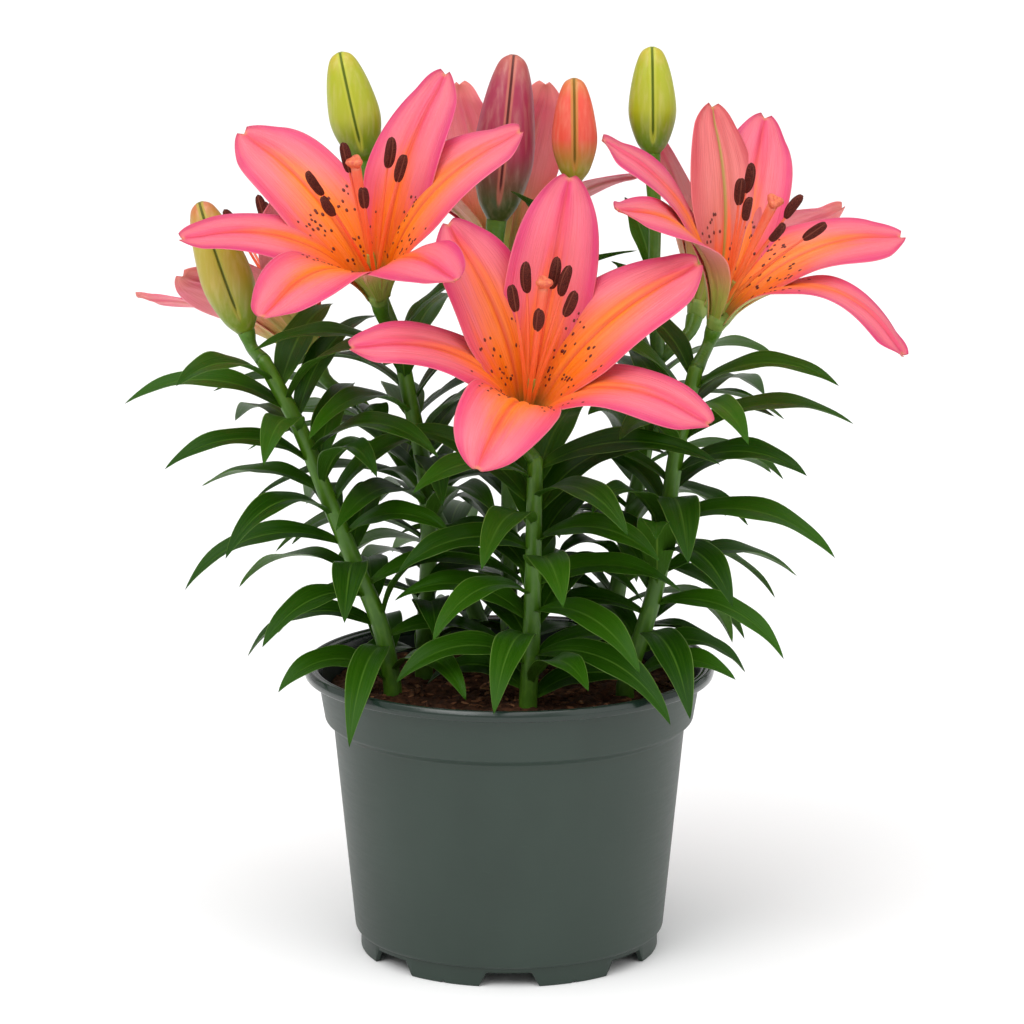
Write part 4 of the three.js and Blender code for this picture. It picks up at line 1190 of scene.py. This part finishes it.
def leaf_skin(skin, leaf, draws):
    """A blade with a channel over its midrib, a keel under it and faint waves along its margins."""
    shares = np.linspace(0, 1, LEAF_ROWS + 1)[:-1]
    sides = np.sin(np.linspace(np.pi / 2, -np.pi / 2, LEAF_COLUMNS))
    around = there_and_back(sides)
    share, side = shares[:, None], around[None]
    lower = np.concatenate([np.zeros(LEAF_COLUMNS), np.ones(LEAF_COLUMNS - 2)])
    phase = next(draws)
    half = leaf_half_width(leaf, share)
    channel = -LEAF_FORM.channel * np.exp(-(half * side / 0.9) ** 2) * (1 - smooth(share, 0.8, 1.0))
    fold = -LEAF_FORM.fold * (1 - np.abs(side)) * np.sin(np.pi * share)
    wave = LEAF_FORM.wave * np.abs(side) ** 2 * np.sin(2 * np.pi * (LEAF_FORM.waves * share + phase)
                                                       + np.where(side > 0, 2.1, 0))
    top = fold + channel + wave * np.sin(np.pi * share)
    keel = (LEAF.thickness - LEAF_FORM.edge) * (1 - np.abs(side)) ** 1.6 * (1 - 0.6 * share)
    thick = LEAF_FORM.edge + 0.6 * keel
    rings = leaf_points(leaf, share, side, top - lower * thick, steps=48)
    tip = leaf_points(leaf, 1.0, 0.0, -LEAF_FORM.edge / 2, steps=48)
    skin.loft(rings, marks_for(share, side, 1 - lower, next(draws)), 1, tip=tip)


# The angles of the rings that round a stalk's end off, and the step between its other rings
STALK_ROUNDING = [25, 48, 68, 84]
STALK_STEP = 2.5


def stalk_skin(skin, points, radius_at):
    """A faintly ribbed stalk with a rounded end, which reaches into what it carries."""
    curve = Curve(points)
    count = max(8, int(curve.reach[-1] / STALK_STEP))
    shares = np.arange(count + 1) / count
    centres, radii = curve.at(shares), radius_at(shares)
    turns = np.radians(STALK_ROUNDING)
    onward = unit(centres[-1] - centres[-2])
    centres = np.concatenate([centres, centres[-1] + np.outer(radii[-1] * np.sin(turns), onward)])
    radii = np.concatenate([radii, radii[-1] * np.cos(turns)])
    shares = np.concatenate([shares, np.ones(len(turns))])
    angles = even_turns(SIDES.stalk)
    ribs = 1 + 0.025 * np.cos(5 * angles[None] + 9 * shares[:, None])
    rings = turned_rings(centres, radii[:, None] * ribs, SIDES.stalk, EAST)
    skin.loft(rings, marks_for(shares[:, None], np.sin(angles)[None]))


def leafy_stem(name, stem, leaves, draws):
    skin = Skin()
    stalk_skin(skin, stem_points(stem), stem_radius)
    for flower in stem.pedicels:
        end_radius = pedicel_end(flower)[2]

        def radius_at(shares, end=end_radius):
            body = mix(STEM.tip_radius, PEDICEL.radius, smooth(shares, 0.05, 0.45))
            return mix(body, end, smooth(shares, 0.66, 1.0))

        stalk_skin(skin, pedicel_points(stem, flower), radius_at)
    for leaf in leaves:
        leaf_skin(skin, leaf, draws)
    dress(skin, f"leafy_stem_{name}", [PAINTS.stem, PAINTS.leaf])


# Pot

def pot_inside(gap):
    """The inside of the pot as (radius, height), from the middle of its floor to the rim."""
    inset = POT.wall + gap
    return [
        (0, POT.floor_z + inset),
        (POT.body_foot - inset - 1.2, POT.floor_z + inset),
        (POT.body_foot - inset + 0.3, POT.body_foot_z + inset),
        (POT.body_top - inset, POT.collar_foot_z - 0.6),
        (POT.collar_foot - inset, POT.collar_foot_z + inset),
        (POT.collar_top - inset, POT.height - POT.lip_depth),
    ]


def rounded(outline, radius, steps=4):
    """The outline with each corner eased over at most that radius."""
    points = [np.array(point, float) for point in outline]
    eased = [points[0]]
    for before, corner, after in zip(points, points[1:], points[2:]):
        legs = [before - corner, after - corner]
        lengths = [np.linalg.norm(leg) for leg in legs]
        ends = [corner + leg * min(radius, 0.45 * length) / length for leg, length in zip(legs, lengths)]
        for step in range(steps + 1):
            share = step / steps
            eased.append(mix(mix(ends[0], corner, share), mix(corner, ends[1], share), share))
    return [*eased, points[-1]]


def foot_height(angle):
    """How high the pot's lower edge is over the floor, round the ring of feet."""
    pitch = 2 * np.pi / FEET.count
    off_notch = np.abs((angle + pitch / 2) % pitch - pitch / 2) * POT.ring_radius
    notch = np.clip((FEET.wide - off_notch) / (FEET.wide - FEET.narrow), 0, 1) * FEET.notch_top
    off_middle = np.abs(pitch / 2 * POT.ring_radius - off_notch)
    return notch + FEET.nick * np.clip(1 - off_middle / FEET.nick_width, 0, 1)


def pot_angles():
    """Even steps round the pot, with a few more at the corners of the notches."""
    pitch = 2 * np.pi / FEET.count
    corners = [0, FEET.narrow, FEET.narrow + 0.3, FEET.wide - 0.3, FEET.wide]
    middle = pitch / 2 * POT.ring_radius
    corners += [middle - FEET.nick_width, middle]
    extra = [pitch * foot + sign * corner / POT.ring_radius
             for foot in range(FEET.count) for corner in corners for sign in (-1, 1)]
    even = even_turns(FEET.sides)
    return np.unique(np.round(np.concatenate([even, np.mod(extra, 2 * np.pi)]), 5))


def pot_piece():
    top = POT.height
    foot_ring = [
        (0, POT.floor_z), (POT.ring_radius - POT.wall, POT.floor_z), (POT.ring_radius - POT.wall, 0),
        (POT.ring_radius, 0), (POT.ring_radius, POT.ring_z), (POT.body_foot - 0.8, POT.ring_z),
    ]
    body = [
        (POT.body_foot, POT.body_foot_z), (POT.body_top, POT.collar_foot_z - 0.6),
        (POT.collar_foot, POT.collar_foot_z + 1.8), (POT.collar_top, top - POT.lip_depth),
    ]
    lip = [
        (POT.rim_radius - 0.5, top - POT.lip_depth), (POT.rim_radius, top - POT.lip_depth / 2),
        (POT.rim_radius - 0.9, top - 0.1), (POT.rim_radius - 2.0, top), (POT.rim_radius - 3.0, top - 0.9),
        (POT.rim_radius - 4.2, top - 0.5), (POT.rim_radius - 5.2, top - 1.5),
    ]
    outline = rounded([*foot_ring, *body, *lip, *reversed(pot_inside(0)[1:])], 0.7)
    outline = [*outline, np.array([0.0, pot_inside(0)[0][1]])]
    angles = pot_angles()
    rings = []
    for radius, height in outline[1:-1]:
        lower = np.maximum(height, foot_height(angles)) if height < FEET.notch_top else height
        heights = np.broadcast_to(lower, angles.shape)
        rings.append(np.stack([radius * np.sin(angles), -radius * np.cos(angles), heights], axis=1))
    rings = np.array(rings)[::-1]
    skin = Skin()
    ends = [np.array([0, 0, height]) for height in (outline[-1][1], outline[0][1])]
    reach = np.hypot(rings[..., 0], rings[..., 1])
    under_lip = top - POT.lip_depth
    lip_share = smooth(rings[..., 2], under_lip - 0.2, under_lip + 0.2) * (reach > POT.collar_top - 2)
    skin.loft(rings, marks_for(rings[..., 2] / top, 0.0, lip_share), start=ends[0], tip=ends[1])
    return dress(skin, "pot", [PAINTS.pot])


def cut_drain_holes(pot):
    """Cuts the drain holes through the pot's floor, and leaves no modifier behind."""
    skin = Skin()
    for i in range(DRAIN.count):
        turn = 2 * math.pi * (i + 0.5) / DRAIN.count
        x, y = DRAIN.circle * math.sin(turn), -DRAIN.circle * math.cos(turn)
        centres = [(x, y, POT.floor_z - 4), (x, y, POT.floor_z + 6)]
        skin.loft(turned_rings(centres, [[DRAIN.radius]] * 2, SIDES.drain, EAST), marks_for(0.0))
    cutter = skin.piece("drain_cutter", [PAINTS.pot])
    modifier = pot.modifiers.new("drain", "BOOLEAN")
    modifier.object = cutter
    modifier.operation = "DIFFERENCE"
    modifier.solver = "EXACT"
    graph = bpy.context.evaluated_depsgraph_get()
    cut = bpy.data.meshes.new_from_object(pot.evaluated_get(graph))
    pot.modifiers.clear()
    pot.data = cut
    bpy.data.objects.remove(cutter)


# Soil

SOIL_FORM = Named(rows=74, sides=220, lumps=1.5, lump_size=7.0, crumbs=0.8, crumb_size=2.4)
BARK = Named(
    count=760, long=5.6, wide=1.9, thick=1.3, least=0.45, scatter=0.75,
    tilt=0.5, bump=0.5, grain=2.1, off_wall=4,
)


def soil_height(x, y):
    """The solid's gentle swells, which rough_soil puts lumps and crumbs on."""
    return SOIL.surface_z + SOIL.roughness * (
        0.6 * math.sin(0.21 * x + 0.9) * math.cos(0.19 * y - 0.4) + 0.4 * math.sin(0.55 * x - 0.3 * y))


def rough_soil(x, y):
    lumps = noise.noise((x / SOIL_FORM.lump_size, y / SOIL_FORM.lump_size, 0.3))
    crumbs = noise.noise((x / SOIL_FORM.crumb_size, y / SOIL_FORM.crumb_size, 7.7))
    return soil_height(x, y) + SOIL_FORM.lumps * lumps + SOIL_FORM.crumbs * crumbs


def bark_shape():
    """A ball of eighty faces, which each chip stretches."""
    ball = bmesh.new()
    bmesh.ops.create_icosphere(ball, subdivisions=2, radius=1.0)
    points = np.array([vertex.co for vertex in ball.verts])
    faces = [[vertex.index for vertex in face.verts] for face in ball.faces]
    ball.free()
    return points, faces


def bark_skin(skin, edge, draws):
    points, faces = bark_shape()
    for _ in range(BARK.count):
        reach, turn = (edge - BARK.off_wall) * math.sqrt(next(draws)), 2 * math.pi * next(draws)
        x, y = reach * math.cos(turn), reach * math.sin(turn)
        size = BARK.least + BARK.scatter * next(draws) ** 2
        stretch = np.array([BARK.long, BARK.wide, BARK.thick]) * size / 2
        yaw, tilt = 2 * math.pi * next(draws), BARK.tilt * (next(draws) - 0.5)
        seed = 50 * next(draws)
        bumps = np.array([1 + BARK.bump * noise.noise(tuple(BARK.grain * point + seed)) for point in points])
        chip = points * bumps[:, None] * stretch
        cos, sin = math.cos(tilt), math.sin(tilt)
        lean = np.array([[cos, 0, sin], [0, 1, 0], [-sin, 0, cos]])
        cos, sin = math.cos(yaw), math.sin(yaw)
        spin = np.array([[cos, -sin, 0], [sin, cos, 0], [0, 0, 1]])
        place = np.array([x, y, rough_soil(x, y) + 0.2 * stretch[2]])
        marks = marks_for(0.5, 0.0, 1.0, 0.15 + 0.8 * next(draws) ** 2)
        skin.add(chip @ lean.T @ spin.T + place, faces, marks[None])


def soil_piece(draws):
    outline = pot_inside(FIT)
    (foot, foot_z), (wide, wide_z) = outline[-2:]
    edge = mix(foot, wide, (SOIL.surface_z - foot_z) / (wide_z - foot_z))
    angles = even_turns(SOIL_FORM.sides)
    rings = []
    for radius, height in [*outline[1:-1], (edge, SOIL.surface_z - 0.5)]:
        rings.append([(radius * math.cos(a), radius * math.sin(a), height) for a in angles])
    for radius in np.linspace(edge - 0.3, 1.0, SOIL_FORM.rows):
        row = [(radius * math.cos(a), radius * math.sin(a)) for a in angles]
        rings.append([(x, y, rough_soil(x, y)) for x, y in row])
    skin = Skin()
    ends = [np.array([0, 0, outline[0][1]]), np.array([0, 0, rough_soil(0, 0)])]
    skin.loft(np.array(rings), marks_for(0.5, 0.0, 1.0, 0.25), start=ends[0], tip=ends[1])
    bark_skin(skin, edge, draws)
    dress(skin, "soil", [PAINTS.soil])


# Floor and light

FLOOR_SIZE = 60.0
LIGHTS = {
    "key": Named(place=(-1.1, -1.5, 1.7), size=1.2, power=13),
    "fill": Named(place=(1.6, -1.2, 1.0), size=1.6, power=7),
}
SKYLIGHT = Named(place=(-0.35, -1.0, 2.6), strength=1.9, spread=75)
LAMP_AIM = (0, 0, 0.18)
WORLD_LIGHT = 0.6


def stage_piece():
    half = FLOOR_SIZE / 2
    mesh = bpy.data.meshes.new("floor")
    corners = [(-half, -half, 0), (half, -half, 0), (half, half, 0), (-half, half, 0)]
    mesh.from_pydata(corners, [], [(0, 1, 2, 3)])
    paint = plain_paint("floor", (252, 252, 252), (255, 255, 255), 1.0, roughness=0.95, strength=0.01)
    mesh.materials.append(paint)
    floor = add_object("floor", mesh)


def hang_lamp(name, kind, place, energy):
    """A lamp that shines at the middle of the plant."""
    data = bpy.data.lights.new(name, kind)
    data.energy = energy
    lamp = add_object(name, data)
    lamp.location = place
    aim = np.array(LAMP_AIM) - np.array(place)
    lamp.rotation_euler = (math.acos(-unit(aim)[2]), 0, math.atan2(aim[1], aim[0]) - math.pi / 2)
    return data


def light_scene():
    """A wide soft sky light that keeps the floor white, two softer lamps and a pale world."""
    bpy.context.scene.view_settings.view_transform = "Standard"
    hang_lamp("sky", "SUN", SKYLIGHT.place, SKYLIGHT.strength).angle = math.radians(SKYLIGHT.spread)
    for name, lamp in LIGHTS.items():
        hang_lamp(name, "AREA", lamp.place, lamp.power).size = lamp.size
    world = bpy.data.worlds.new("studio")
    world.use_nodes = True
    background = world.node_tree.nodes["Background"]
    background.inputs["Color"].default_value = (1, 1, 1, 1)
    background.inputs["Strength"].default_value = WORLD_LIGHT
    bpy.context.scene.world = world


# The whole plant

DETAIL_SEED = 5


def build():
    stage_piece()
    light_scene()
    draws = seeded_random(DETAIL_SEED)
    cut_drain_holes(pot_piece())
    soil_piece(draws)
    leaves = grown_leaves()
    for name, stem in STEMS.items():
        leafy_stem(name, stem, leaves[name], draws)
    for name, bloom in BLOOMS.items():
        bloom_tepals(name, bloom, draws)
        bloom_stamens(name, bloom, draws)
    for name, bud in BUDS.items():
        bud_piece(name, bud)
    for name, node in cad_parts.items():
        if name.startswith("bulb"):
            node.data.materials.clear()
            node.data.materials.append(PAINTS.bulb)


build()
